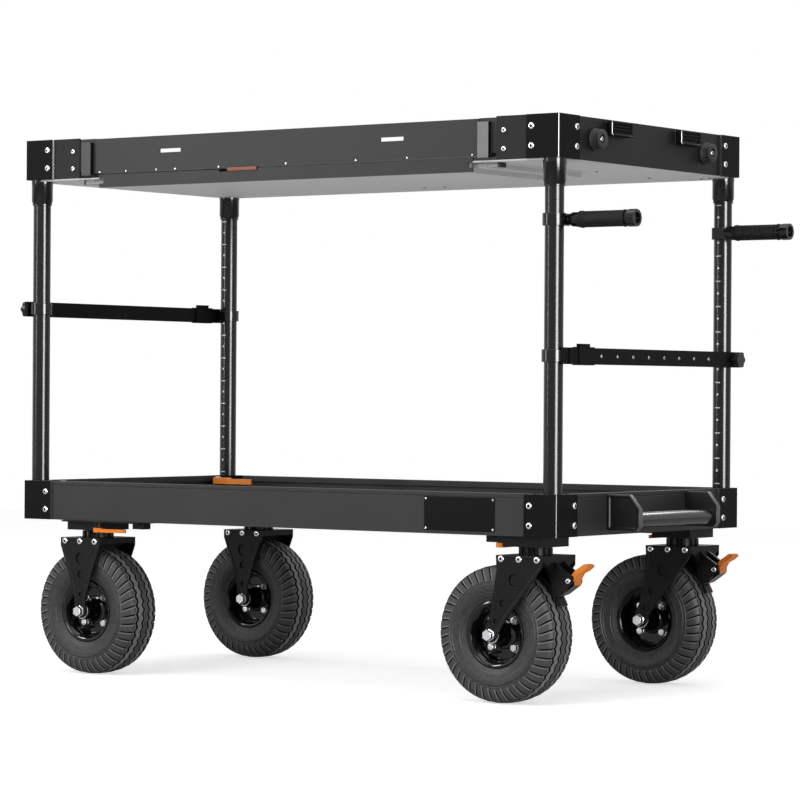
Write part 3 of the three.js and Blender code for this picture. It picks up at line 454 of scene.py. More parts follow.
def hexagon(piece, reach):
    """Moves the corners of the selected round face onto a hexagon."""
    chosen = {v for face in piece.data.polygons if face.select for v in face.vertices}
    for index in chosen:
        point = piece.data.vertices[index].co
        angle = math.atan2(point.y, point.x)
        spread = reach * math.cos(math.pi / 6) / math.cos(angle % (math.pi / 3) - math.pi / 6)
        point.x = spread * math.cos(angle)
        point.y = spread * math.sin(angle)


def set_out(pattern, name, places, body, material=None):
    """One piece made of copies of a pattern, each turned from +Z to a direction at its place."""
    copies = []
    for place, facing in places:
        copy = bpy.data.objects.new(name, pattern.data.copy())
        scene.collection.objects.link(copy)
        turn = Vector((0, 0, 1)).rotation_difference(Vector(facing)).to_matrix().to_4x4()
        copy.data.transform(Matrix.Translation(place) @ turn)
        copies.append(copy)
    select_only(*copies)
    if len(copies) > 1:
        bpy.ops.object.join()
    group = bpy.context.view_layer.objects.active
    dress(group, material or zinc, body)
    # The socket faces of a screw get the painted shade.
    recess = group.data.attributes.get("recess")
    if recess:
        paint_faces(group, (socket_shade,), lambda face: recess.data[face.index].value)


def turned(name, section, centre, axis, steps=64):
    """A round piece, spun in edit mode from a closed section of (radius, distance along the axis) in mm.

    A section that starts and ends on the axis is left open there."""
    bpy.ops.object.select_all(action="DESELECT")
    bpy.ops.mesh.primitive_circle_add(vertices=len(section), radius=1.0)
    piece = bpy.context.object
    piece.name = name
    piece.matrix_world = Matrix.Identity(4)
    along = Vector(axis)
    out = along.orthogonal().normalized()
    for vertex, (radius, distance) in zip(piece.data.vertices, section):
        vertex.co = Vector(centre) + out * radius * mm + along * distance * mm
    if section[0][0] == 0:
        ends = {0, len(section) - 1}
        for edge in piece.data.edges:
            edge.select = set(edge.vertices) == ends
        for vertex in piece.data.vertices:
            vertex.select = False
        with edit_mode(kind="EDGE"):
            bpy.ops.mesh.delete(type="EDGE_FACE")
    with edit_mode("SELECT", "VERT"):
        bpy.ops.mesh.spin(steps=steps, angle=2 * math.pi, center=centre, axis=axis)
        bpy.ops.mesh.select_all(action="SELECT")
        bpy.ops.mesh.remove_doubles(threshold=fine_weld)
        bpy.ops.mesh.normals_make_consistent(inside=False)
    bpy.ops.object.shade_smooth_by_angle(angle=math.radians(35))
    return piece


def chamfer_corner(piece, x, y):
    """Chamfers the upright edge of a bracket that stands at x and y."""
    choose_faces(piece, lambda centre, normal: False)
    for edge in piece.data.edges:
        ends = [piece.data.vertices[v].co for v in edge.vertices]
        edge.select = all(abs(p.x - x) < near_face and abs(p.y - y) < near_face for p in ends)
    with edit_mode(kind="EDGE"):
        bpy.ops.mesh.bevel(offset=corner_chamfer, segments=1, affect="EDGES")


def bracket_finish(face, level, end, side):
    """Painted highlights: bright on the chamfered corner and x-facing leg ends of an upper bracket and on
    the top edge of a lower one, grey on the rest of the corner and leg ends.
    """
    off_end = (cart_middle + end * half_length - face.center.x) * end
    off_side = frame_side - face.center.y * side
    nearer, farther = sorted((off_end, off_side))
    slanted = face.normal.x * end > 0.6 and face.normal.y * side > 0.6
    leg_end = nearer < 5 * mm and farther > bracket_leg - 0.8 * mm
    if level == "upper":
        bright = slanted or leg_end and abs(face.normal.x) > 0.5
    else:
        bright = nearer < 1 * mm and 0.3 < face.normal.z < 0.95
    return 1 if bright else 2 if leg_end or slanted else 0


# Painted shade for the recessed sockets of the screws.
socket_shade = grained("screw_socket_painted_shade", "101011", "1a1a1b", (0.5, 0.6), 1.0, 0.02, specular=0.1)
anodised_bracket = grained("black_anodised_bracket", "131314", "1a1a1b", (0.36, 0.46), 1.0, 0.04,
                           specular=0.03)
# Painted highlights for edges that catch the lamps: a bright one, and a grey one that also stands for bare
# steel on a brake arm.
painted_edge_highlight = grained("painted_edge_highlight_aluminium", "d6d7d9", "e6e6e8", (0.4, 0.5), 1.0, 0.02, specular=0.2,
                     metallic=0.15)
grey_bare_and_highlight = grained("grey_bare_and_highlight_edge", "4c4c4d", "606061", (0.35, 0.45), 1.0, 0.02, metallic=0.3)
gloss_collar = grained("gloss_anodised_collar", "0c0c0d", "101011", (0.08, 0.14), 1.5, 0.004, specular=0.3)
bracket_screw = button_screw(6.3, 3.5, 0.5)
collar_section = [
    (18.6, 0), (18.6, -52), (19, -52.4), (20, -52.4), (20.4, -52), (20.4, -49.6), (19.7, -49), (21.9, -43),
    (21.9, -10), (22.4, -8), (22.4, 0),
]
for corner, end, side in corners:
    end_x = cart_middle + end * half_length
    for level, bottom, first_screw in (("lower", lower_bottom, 21 * mm), ("upper", upper_bottom, 23 * mm)):
        name = f"{level}_corner_{corner}"
        cuts = bracket_cuts(end, side)
        if level == "upper":
            cuts.append(((0, 0, bottom), (0, 0, -1)))
        bracket = copied(name, cuts)
        chamfer_corner(bracket, end_x - end * shave, side * (frame_side - shave))
        stand_in(bracket, name, 0.9 * mm, anodised_bracket)
        paint_faces(bracket, (painted_edge_highlight, grey_bare_and_highlight), lambda face: bracket_finish(face, level, end, side))
        places = []
        for height in (bottom + first_screw, bottom + first_screw + bracket_screw_step):
            places.append(((end_x - end * bracket_screw_inset, side * frame_side, height), (0, side, 0)))
            places.append(((end_x, side * (frame_side - bracket_screw_inset), height), (end, 0, 0)))
        set_out(bracket_screw, f"{name}_screws", places, "frame")
    centre = (end_x - end * post_inset, side * (frame_side - post_inset), upper_bottom)
    collar = turned(f"upper_collar_{corner}", collar_section, centre, (0, 0, 1))
    dress(collar, gloss_collar, "frame")

# Posts
# Drawn aluminium tube, 36 mm across with a 2.5 mm wall, bright anodised black and polished like glass.
# The rear posts carry a printed scale on their front: a long dash every second inch and a dot between.
post_radius = 18 * mm
post_wall = 2.5 * mm
inch = 25.4 * mm
tube_black = "0e0e0f"
print_white = "f0f0f0"
dash_reach = 5.5 * mm
dash_height = 2 * mm
dot_reach = 2 * mm
dot_height = 4.2 * mm


def streaked(material, place, across, along):
    """Fine upright streaks, from their frequency across and along."""
    drawn = add_node(material, "Mapping", {"Vector": place, "Scale": (across, across, along)})
    noise = add_node(material, "TexNoise", {"Vector": drawn.outputs[0], "Scale": 1.0, "Detail": 2.0})
    return noise.outputs["Fac"]


def scale_print(material, place):
    """The tube's colour with a thin dash at every second inch of its front and a taller dot between."""
    axes = add_node(material, "SeparateXYZ", {"Vector": place}).outputs
    inches = calculate(material, "DIVIDE", axes["Z"], inch)
    within = calculate(material, "FLOORED_MODULO", inches, 1.0)
    pair = calculate(material, "FLOORED_MODULO", inches, 2.0)
    is_dash = calculate(material, "LESS_THAN", pair, 1.0)
    reach = ranged(material, is_dash, dot_reach, dash_reach)
    share = ranged(material, is_dash, dot_height / inch, dash_height / inch)
    line = calculate(material, "LESS_THAN", within, share)
    off_middle = calculate(material, "SUBTRACT", axes["X"], cart_middle)
    off_end = calculate(material, "ABSOLUTE", off_middle)
    off_post = calculate(material, "SUBTRACT", off_end, half_length - post_inset)
    sideways = calculate(material, "ABSOLUTE", off_post)
    near = calculate(material, "LESS_THAN", sideways, reach)
    front = calculate(material, "LESS_THAN", axes["Y"], frame_side - post_inset)
    on_front = calculate(material, "MULTIPLY", near, front)
    mark = calculate(material, "MULTIPLY", on_front, line)
    return two_tones(material, mark, tube_black, print_white)


def tube_material(name, marked):
    """Bright black tube, with the printed inch scale where it is marked."""
    material = with_nodes(bpy.data.materials.new(name))
    place = add_node(material, "TexCoord").outputs["Object"]
    streaks = streaked(material, place, 900.0, 12.0)
    return shaded(material, {
        "Base Color": scale_print(material, place) if marked else linear(tube_black),
        "Roughness": ranged(material, streaks, 0.18, 0.2),
        "Specular IOR Level": 0.28,
    })


plain_tube = tube_material("bright_black_tube", False)
marked_tube = tube_material("bright_black_tube_with_scale", True)
for corner, end, side in corners:
    low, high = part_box(f"post_{corner}")
    length = high.z - low.z
    middle = (low + high) / 2
    bpy.ops.mesh.primitive_cylinder_add(vertices=64, radius=post_radius, depth=length, location=middle)
    post = bpy.context.object
    post.name = f"post_tube_{corner}"
    bpy.ops.object.transform_apply(location=True)
    for face in post.data.polygons:
        face.select = abs(face.normal.z) > 0.9
    with edit_mode():
        bpy.ops.mesh.inset(thickness=post_wall, use_individual=True)
        bpy.ops.mesh.bridge_edge_loops()
    soften(post, 0.5 * mm)
    dress(post, marked_tube if side > 0 else plain_tube, "frame")
    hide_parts(f"post_{corner}")

# Post latches
# Orange anodised aluminium levers in the lower tray that lock the posts in their sockets.
# Each one turns on a pin with a zinc hexagon bolt on top, and a step parts its head from its arm.
orange_anodised = grained("orange_anodised_aluminium", "e87818", "fa9432", (0.36, 0.46), 1.2, 0.03,
                          specular=0.2)
latch_pin_inset = 11 * mm
latch_head = 32 * mm
latch_step_run = 1.6 * mm
latch_step_drop = 2.5 * mm
latch_taper = 0.1
bolt_flange = 0.14


def hex_bolt(width, height, flange=1.12):
    """A hexagon bolt head facing +Z from the origin: flange and chamfered top. Sizes are in mm."""
    width *= mm
    height *= mm
    radius = width / 2 / math.cos(math.pi / 6)
    middle = (0, 0, height / 2)
    bpy.ops.mesh.primitive_cylinder_add(vertices=6, radius=radius, depth=height, location=middle)
    bolt = bpy.context.object
    select_only(bolt)
    bpy.ops.object.transform_apply(location=True)
    for face in bolt.data.polygons:
        face.select = face.normal.z > 0.9
    with edit_mode():
        bpy.ops.mesh.inset(thickness=width * 0.09, depth=0)
        bpy.ops.mesh.select_all(action="DESELECT")
    for vertex in bolt.data.vertices:
        if vertex.co.z > height * 0.9 and vertex.co.xy.length > width * 0.5:
            vertex.co.z -= width * 0.05
    for face in bolt.data.polygons:
        face.select = face.normal.z < -0.9
    with edit_mode():
        bpy.ops.mesh.extrude_region_move(TRANSFORM_OT_translate={"value": (0, 0, 0)})
        bpy.ops.transform.resize(value=(flange, flange, 1), center_override=(0, 0, 0))
        bpy.ops.mesh.extrude_region_move(TRANSFORM_OT_translate={"value": (0, 0, -height * bolt_flange)})
    lift = Matrix.Translation((0, 0, height * bolt_flange))
    bolt.data.transform(Matrix.Scale(1 / (1 + bolt_flange), 4, (0, 0, 1)) @ lift)
    soften(bolt, width * 0.02, 1)
    patterns.append(bolt)
    return bolt


latch_bolt = hex_bolt(11, 2.6)
for corner, end, side in corners:
    name = f"post_latch_{corner}"
    low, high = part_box(name)
    pin_x = low.x + latch_pin_inset if end < 0 else high.x - latch_pin_inset
    middle_y = (low.y + high.y) / 2
    latch = copied(name)
    step_x = pin_x - end * latch_head
    slice_all(latch, *[((x, 0, 0), (1, 0, 0)) for x in (step_x, step_x + end * latch_step_run)])
    for vertex in latch.data.vertices:
        if (vertex.co.x - step_x) * end < 0.01 * mm and vertex.co.z > low.z + 1 * mm:
            vertex.co.z -= latch_step_drop
            vertex.co.y += (middle_y - vertex.co.y) * latch_taper
    stand_in(latch, name, 1.2 * mm, orange_anodised)
    bolt_place = (pin_x, middle_y, high.z - 0.2 * mm)
    set_out(latch_bolt, f"post_latch_bolt_{corner}", [(bolt_place, (0, 0, 1))], "frame")

# Front wall of the upper tray
# A slotted panel screwed up through its lower flange, between two bolted end plates.
# Two upright straps over ties bridge the gaps: bare brushed aluminium on the right, darker on the left.
wall_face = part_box("lower_rail_front")[0].y
strap_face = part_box("upper_front_wall")[0].y
stub = 0.2 * mm
end_plate_inside = half_length - 143.5 * mm
plate_screw_off = half_length - 125.5 * mm
strap_off = half_length - 167.5 * mm
strap_size = Vector((25 * mm, wall_face - strap_face, 68 * mm))
strap_height = upper_bottom + 38 * mm
tie_off = half_length - 162.5 * mm
tie_size = (44 * mm, 6 * mm, 74 * mm)
tie_behind = 6.4 * mm
tie_height = upper_bottom + 43 * mm
seam_height = upper_bottom + 10.8 * mm


def brushed(name, dark, light, metallic):
    """A sheet finish brushed up and down: fine upright streaks in tone and roughness."""
    material = with_nodes(bpy.data.materials.new(name))
    place = add_node(material, "TexCoord").outputs["Object"]
    streaks = streaked(material, place, 1 / (1.6 * mm), 8.0)
    return shaded(material, {
        "Base Color": two_tones(material, streaks, dark, light),
        "Roughness": ranged(material, streaks, 0.4, 0.5),
        "Metallic": metallic,
    })


def plain_block(name, middle, size):
    """A block, from its middle and its size."""
    bpy.ops.mesh.primitive_cube_add(size=1.0, location=middle, scale=size)
    piece = bpy.context.object
    piece.name = name
    bpy.ops.object.transform_apply(location=True, scale=True)
    return piece


dark_sheet = grained("dark_anodised_sheet", "1b1b1c", "222223", (0.4, 0.5), 1.2, 0.05, specular=0.12)
bare_strap = brushed("bare_brushed_aluminium", "545454", "6e6e6e", 0.3)
dark_strap = brushed("dark_brushed_aluminium", "202021", "303031", 0.2)
wall = copied("upper_front_wall", [((0, wall_face - stub, 0), (0, -1, 0))])
stand_in(wall, "upper_front_wall", 0.5 * mm, anodised_sheet)
paint_faces(wall, (dark_sheet,), lambda face: abs(face.center.x - cart_middle) > end_plate_inside)
plate_places = []
for end, place, strap_finish in ((-1, "left", dark_strap), (1, "right", bare_strap)):
    middle = (cart_middle + end * strap_off, (wall_face + strap_face) / 2, strap_height)
    strap = plain_block(f"front_wall_strap_{place}", middle, strap_size)
    soften(strap, 0.6 * mm)
    dress(strap, anodised_bracket, "frame")
    paint_faces(strap, (strap_finish,), lambda face: face.normal.y < -0.9)
    middle = (cart_middle + end * tie_off, wall_face + tie_behind, tie_height)
    tie = plain_block(f"front_wall_tie_{place}", middle, tie_size)
    soften(tie, 0.8 * mm)
    dress(tie, anodised_bracket, "frame")
    for height in (20 * mm, 55 * mm):
        middle = (cart_middle + end * plate_screw_off, wall_face - 0.04 * mm, upper_bottom + height)
        plate_places.append((middle, (0, -1, 0)))
set_out(button_screw(5.2, 3.2, 0.5), "front_wall_plate_screws", plate_places, "frame")
seam_places = []
for along in (-463, -392, -312, -262, -150, 20, 190, 312, 463):
    seam_places.append(((cart_middle + along * mm, wall_face, seam_height), (0, -1, 0)))
set_out(button_screw(2.2, 1.4), "front_wall_seam_screws", seam_places, "frame")

# Pull-out shelf
# A shallow tray on two zinc plated telescopic slides: a black lip flush below the wall and a grey board.
# A red orange latch, darkened further as painted shade under the lip, sits in a notch of the lip, and small
# dark screws show on the underside of the deck.
runner_start = half_length - 207.9 * mm
lip_back = wall_face + 3.5 * mm
lip_inside = wall_face + 3.2 * mm
seam_width = 1.7 * mm


def shelf_finish(face):
    """Grey behind the black lip, and zinc on the front of a runner."""
    if face.center.y < lip_inside:
        return 0
    runner = abs(face.center.x - cart_middle) > runner_start and face.center.y < slide_front
    return 2 if runner else 1


shelf = copied("keyboard_shelf")
lip_top = max(vertex.co.z for vertex in shelf.data.vertices if vertex.co.y < lip_back)
for vertex in shelf.data.vertices:
    if vertex.co.y < lip_back and vertex.co.z > lip_top - 0.5 * mm:
        vertex.co.z -= seam_width
stand_in(shelf, "keyboard_shelf", 0.5 * mm, anodised_sheet)
paint_faces(shelf, (deck_sheet, slide_steel), shelf_finish)
# The latch's red orange is darkened as painted shade from the lip above it.
red_latch_painted_shade = grained("red_orange_latch_painted_shade", "4a1c0c", "9c4414", (0.4, 0.55), 3, 0.04)
stand_in(copied("shelf_latch", flats=True), "shelf_latch", 1.0 * mm, red_latch_painted_shade)
deck_places = []
for x, y in ((-32, 15), (20, 14), (-43, 232), (10, 230), (534, -4), (526, 207), (602, 284), (630, 267)):
    deck_places.append(((cart_middle + x * mm, y * mm, deck_underside), (0, 0, -1)))
set_out(button_screw(3.5, 1.2), "deck_screws", deck_places, "frame", dark_screw)

# Bumpers and hook blocks
# Round black rubber bumpers with a steel screw in a recess, and black ribbed blocks for hanging bags.
# The blocks are cut from ribbed bar, and a painted highlight runs down their upright front edges.
bumper_rubber = grained("black_bumper_rubber", "1c1c1d", "232324", (0.5, 0.6), 1.5, 0.06, specular=0.3)
rail_face = half_length - 5.3 * mm
bumper_section = [
    (0, 15.2), (7.5, 15.2), (8, 15.6), (8.6, 18.6), (9.6, 19.6), (16.6, 19.8), (17.9, 19.2),
    (18.4, 17.6), (18.4, 15.2), (17.7, 14.8), (17.7, 14.0), (18.8, 13.6), (20.8, 3.8), (21.4, 3.2),
    (21.4, 0.6), (21, 0), (0, 0),
]
bumper_screw = button_screw(4.6, 3)
bumper_y = frame_side - 131 * mm
bumper_z = upper_bottom + 41 * mm
bumper_recess = 15.2 * mm
block_y = frame_side - 208 * mm
block_top = upper_bottom + 79 * mm
block_depth = 15 * mm
block_half = 37 * mm
block_height = 28 * mm
rib_half = 34 * mm
groove_in = 2.5 * mm
lip_out = 2 * mm
groove_levels = [block_top - drop * mm for drop in (5, 8, 11.5, 14.5, 18, 21, 25)]


def hook_block(name, end, y, face_x):
    """A block with three grooves along its outer face, between plain ends, and a thin lip below."""
    middle = (face_x + end * block_depth / 2, y, block_top - block_height / 2)
    block = plain_block(name, middle, (block_depth, 2 * block_half, block_height))
    slice_all(block, *[((0, 0, level), (0, 0, 1)) for level in groove_levels],
              *[((0, y + side * rib_half, 0), (0, 1, 0)) for side in (-1, 1)])
    for high_z, low_z in zip(groove_levels[0:6:2], groove_levels[1:6:2]):
        push_faces(block, lambda c, n: n.x * end > 0.9 and low_z < c.z < high_z and abs(c.y - y) < rib_half,
                   (-end * groove_in, 0, 0))
    push_faces(block, lambda c, n: n.x * end > 0.9 and c.z < groove_levels[-1], (end * lip_out, 0, 0))
    soften(block, 0.9 * mm, 1)
    return block


def block_finish(face, y):
    """Painted highlight on the upright edges of a block's front end."""
    return abs(face.normal.x) > 0.2 and face.normal.y < -0.2 and face.center.y < y - block_half + 1 * mm


for rail_name, end in (("upper_rail_left", -1), ("upper_rail_right", 1)):
    face_x = cart_middle + end * rail_face
    rail = folded_rail(rail_name, (end, 0, 0), [((face_x - end * shave, 0, 0), (end, 0, 0))])
    stand_in(rail, rail_name, 0.6 * mm, dark_sheet)
    places = []
    for side, place in both_sides:
        centre = (face_x, side * bumper_y, bumper_z)
        bumper = turned(f"{rail_name}_bumper_{place}", bumper_section, centre, (end, 0, 0), 48)
        dress(bumper, bumper_rubber, "frame")
        places.append(((face_x + end * bumper_recess, side * bumper_y, bumper_z), (end, 0, 0)))
        block = hook_block(f"{rail_name}_hook_block_{place}", end, side * block_y, face_x)
        dress(block, anodised_bracket, "frame")
        # A painted highlight on the front edges.
        paint_faces(block, (painted_edge_highlight,), lambda face: block_finish(face, side * block_y))
    set_out(bumper_screw, f"{rail_name}_bumper_screws", places, "frame")

# Lift handles
# Black moulded end plates with a recessed side and a chamfered shoulder, and a polished bar between them.
# The moulding is lightly textured, its shoulders are painted lighter as a soft painted highlight, and the
# bar mirrors the lamps.
moulded_black = grained("textured_black_moulding", "161617", "1f1f20", (0.32, 0.45), 0.9, 0.08,
                        specular=0.25)
# The pebbled shoulder is painted lighter grey as a painted highlight.
shoulder_painted_highlight = grained("pebbled_moulding_painted_highlight", "3a3a3b", "484849", (0.4, 0.5), 1.4, 0.25)
polished_bar = grained("polished_black_bar", "2e2e2f", "383839", (0.12, 0.2), 1.5, 0.01, metallic=0.6)
bar_section = [(0, -140), (15, -140), (15, -139.6), (15, 0), (15, 139.6), (15, 140), (0, 140)]
bar_off = rail_face + 51 * mm
bar_height = lower_bottom + 29 * mm
plate_inside = 138.02 * mm
for name, end in (("lift_handle_left", -1), ("lift_handle_right", 1)):
    for side, place in both_sides:
        plate = copied(name, [((0, side * plate_inside, 0), (0, -side, 0))], place, flats=True)
        choose_faces(plate, lambda c, n: n.y * side > 0.99)
        with edit_mode(kind="FACE"):
            bpy.ops.mesh.inset(thickness=5 * mm)
            bpy.ops.mesh.inset(thickness=0.5 * mm, depth=-3 * mm)
        if side < 0:
            stand_in(plate, name, 1.4 * mm, moulded_black)
        else:
            soften(plate, 1.4 * mm)
            dress(plate, moulded_black, "frame")
        # Faces turned outwards on the shoulder get the painted highlight.
        paint_faces(plate, (shoulder_painted_highlight,), lambda f: f.normal.x * end > 0.3 and abs(f.normal.y) < 0.3)
    centre = (cart_middle + end * bar_off, 0, bar_height)
    grip_bar = turned(f"{name}_bar", bar_section, centre, (0, 1, 0), 48)
    dress(grip_bar, polished_bar, "frame")

# Nameplate
# A thin black plate held to the front rail by four small screws, with its face left bare.
# A thin bare line runs round it, a little inside its edge.
plate_gloss = grained("gloss_black_plate", "060606", "0a0a0a", (0.12, 0.2), 2.0, 0.01, specular=0.15)
plate_rim = grained("bare_plate_edge", "8a8a8b", "a0a0a1", (0.3, 0.4), 1.2, 0.02, metallic=0.8)
plate_width = 163 * mm
plate_height = 65 * mm
plate_thickness = 1.2 * mm
rim_inset = 3.2 * mm
rim_width = 1.1 * mm
plate_middle = (cart_middle + 438.5 * mm, wall_face - plate_thickness / 2, lower_bottom + 38.5 * mm)
plate = plain_block("bare_nameplate", plate_middle, (plate_width, plate_thickness, plate_height))
for face in plate.data.polygons:
    face.select = face.normal.y < -0.9
with edit_mode():
    bpy.ops.mesh.inset(thickness=rim_inset)
    bpy.ops.mesh.inset(thickness=rim_width)
    bpy.ops.mesh.inset(thickness=0.3 * mm, depth=-0.3 * mm)


def plate_finish(face):
    """Bare on the thin line inside the plate's edge."""
    off_x = plate_width / 2 - abs(face.center.x - plate_middle[0])
    off_z = plate_height / 2 - abs(face.center.z - plate_middle[2])
    return face.normal.y < -0.9 and rim_inset < min(off_x, off_z) < rim_inset + rim_width


soften(plate, 0.3 * mm)
dress(plate, plate_gloss, "frame")
paint_faces(plate, (plate_rim,), plate_finish)
places = []
for x in (plate_middle[0] - 77 * mm, plate_middle[0] + 77 * mm):
    for z in (plate_middle[2] - 28 * mm, plate_middle[2] + 28 * mm):
        places.append(((x, wall_face - plate_thickness, z), (0, -1, 0)))
set_out(button_screw(2.2, 1.1), "nameplate_screws", places, "frame")

# Casters
# Powder coated steel forks: two legs cut from plate and bolted to the sides of a thick top block, over a
# bearing neck. Zinc screws hold the legs, and a zinc bolt is the axle. Only the right pair swivels.
powder_coat = grained("satin_black_powder_coat", "101011", "171718", (0.34, 0.44), 1.4, 0.08, specular=0.1)
# Painted highlight for the slanted faces round a leg's raised border.
painted_highlight_coat = grained("powder_coat_painted_highlight", "4c4c4d", "606061", (0.36, 0.46), 1.4, 0.08, specular=0.3)
leg_inside = 53 * mm
leg_face = 58 * mm
leg_border = 4.6 * mm
fork_height = 151.3
rigid_leg = [
    (-14, 25.7), (-30.2, 78.7), (-52, 134.7), (-52, fork_height), (52, fork_height), (52, 134.7),
    (30.2, 78.7), (14, 25.7),
]
rigid_holes = [(0, 107.4, 13), (0, 74.2, 8), (0, 34, 5)]
swivel_leg = [
    (-66.6, 33.3), (-57.2, 78.7), (-50.4, 124.1), (-52, fork_height), (52, fork_height), (52, 131.7),
    (-28.1, 33.3),
]
swivel_holes = [(-12, 104.4, 13), (-36.9, 60.5, 8), (-54.1, 25.7, 5)]
boss_radius = 14
caster_trail = 66
screw_seat = leg_face - 1.2 * mm
leg_screw_step = 40 * mm
leg_screw_height = 144.3 * mm
stud_circle = 29.5 * mm
stud_count = 10
lever_cut = 11 * mm


def middle_of(name):
    """The middle of a CAD node's box."""
    low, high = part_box(name)
    return (low + high) / 2


def boss_arc(x, first, last):
    """Points round the boss of a leg, from one angle to another in degrees."""
    angles = [math.radians(first + (last - first) * step / 12) for step in range(13)]
    return [(x + boss_radius * math.cos(angle), boss_radius * math.sin(angle)) for angle in angles]


def cut_away(piece, tool):
    """Takes the shape of a tool out of a piece, and removes the tool."""
    select_only(piece)
    cut = piece.modifiers.new("cut", "BOOLEAN")
    cut.operation = "DIFFERENCE"
    cut.object = tool
    bpy.ops.object.modifier_apply(modifier=cut.name)
    bpy.data.objects.remove(tool)


def cut_plate(name, outline, holes, origin, y_near, y_far):
    """A plate with holes between two y planes, from (x, z) points and (x, z, radius) holes in mm."""
    bpy.ops.mesh.primitive_circle_add(vertices=len(outline), radius=1.0, fill_type="NGON")
    plate = bpy.context.object
    plate.name = name
    plate.matrix_world = Matrix.Identity(4)
    for vertex, (x, z) in zip(plate.data.vertices, outline):
        vertex.co = (origin.x + x * mm, y_near, origin.z + z * mm)
    with edit_mode("SELECT"):
        bpy.ops.mesh.extrude_region_move(TRANSFORM_OT_translate={"value": (0, y_far - y_near, 0)})
        bpy.ops.mesh.select_all(action="SELECT")
        bpy.ops.mesh.normals_make_consistent(inside=False)
    out = 1 if y_far > y_near else -1
    choose_faces(plate, lambda c, n: n.y * out > 0.9)
    with edit_mode(kind="FACE"):
        bpy.ops.mesh.inset(thickness=leg_border)
        bpy.ops.mesh.inset(thickness=1.4 * mm, depth=-1.2 * mm)
        bpy.ops.mesh.select_all(action="DESELECT")
    for x, z, radius in holes:
        place = (origin.x + x * mm, (y_near + y_far) / 2, origin.z + z * mm)
        bpy.ops.mesh.primitive_cylinder_add(vertices=32, radius=radius * mm, depth=20 * mm, location=place,
                                            rotation=(math.pi / 2, 0, 0))
        cut_away(plate, bpy.context.object)
    soften(plate, 0.8 * mm)
    return plate


leg_screw = button_screw(6.6, 3.4)
axle_bolt = hex_bolt(18.5, 10.5, 1.16)
neck_stud = hex_bolt(6.5, 14, 1.02)
for corner, end, side in corners:
    fork = f"caster_fork_{corner}"
    caster_plate = f"caster_plate_{corner}"
    lever = f"release_lever_{corner}"
    body = frame["nodes"][fork]["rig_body"]
    axle = middle_of(f"tyre_{corner}")
    hub_x = axle.x if end < 0 else axle.x + caster_trail * mm
    cuts = [((0, axle.y + out * (leg_inside - shave), 0), (0, out, 0)) for out in (-1, 1)]
    stand_in(copied(fork, cuts), fork, 0.8 * mm, powder_coat)
    stand_in(copied(caster_plate), caster_plate, 0.8 * mm, powder_coat)
    lever_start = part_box(lever)[0].x + lever_cut
    cuts = [((lever_start, 0, 0), (-1, 0, 0))] if corner == "rear_right" else []
    stand_in(copied(lever, cuts), lever, 1.2 * mm, orange_anodised)
    if end < 0:
        outline = rigid_leg + boss_arc(0, -5, -175)
        holes = rigid_holes
    else:
        outline = swivel_leg + boss_arc(-caster_trail, -42, -207)
        holes = swivel_holes
    origin = Vector((hub_x, 0, axle.z))
    screw_places = []
    axle_places = []
    for out, place in both_sides:
        near = axle.y + out * leg_inside
        far = axle.y + out * leg_face
        leg = cut_plate(f"fork_leg_{corner}_{place}", outline, holes, origin, near, far)
        dress(leg, powder_coat, body)
        # The slanted faces of the border take the painted highlight.
        paint_faces(leg, (painted_highlight_coat,), lambda face: 0.3 < face.normal.y * out < 0.85)
        seat_y = axle.y + out * screw_seat
        for off in (-leg_screw_step, 0, leg_screw_step):
            screw_places.append(((hub_x + off, seat_y, axle.z + leg_screw_height), (0, out, 0)))
        axle_places.append(((axle.x, seat_y, axle.z), (0, out, 0)))
    set_out(leg_screw, f"fork_screws_{corner}", screw_places, body)
    set_out(axle_bolt, f"axle_bolt_{corner}", axle_places, body)
    stud_places = []
    for step in range(stud_count):
        angle = 2 * math.pi * (step + 0.5) / stud_count
        off = Vector((stud_circle * math.cos(angle), stud_circle * math.sin(angle), fork_height * mm))
        stud_places.append((Vector((hub_x, axle.y, axle.z)) + off, (0, 0, 1)))
    set_out(neck_stud, f"neck_studs_{corner}", stud_places, body, gloss_collar)

# Brakes
# Each swivel caster has a lever on the fork's front edge: an orange toe piece and a curved black shoe.
# The shoe lies over the tyre, and its arm is bare steel along its lower edge.
brake_pivot_bolt = button_screw(5.4, 3)
brake_pivot_x = 150.5 * mm
brake_pivot_z = lower_bottom - 81.8 * mm
brake_cheek = 18.95 * mm


def brake_finish(face, pivot_x):
    """Black inboard of the toe piece, and bare under the shoe's arm."""
    off = face.center.x - pivot_x
    under = face.normal.z < -0.2 and face.normal.x > 0.1 and -30 * mm < off < 12 * mm
    return 2 if under else 1 if off < 4 * mm else 0


for corner in ("front_right", "rear_right"):
    name = f"brake_lever_{corner}"
    brake = stand_in(copied(name), name, 1.2 * mm, orange_anodised)
    axle = middle_of(f"tyre_{corner}")
    pivot = Vector((axle.x + brake_pivot_x, axle.y, brake_pivot_z))
    paint_faces(brake, (powder_coat, grey_bare_and_highlight), lambda face: brake_finish(face, pivot.x))
    pivots = [(pivot + Vector((0, out * brake_cheek, 0)), (0, out, 0)) for out in (-1, 1)]
    set_out(brake_pivot_bolt, f"brake_pivot_{corner}", pivots, f"swivel_{corner}")

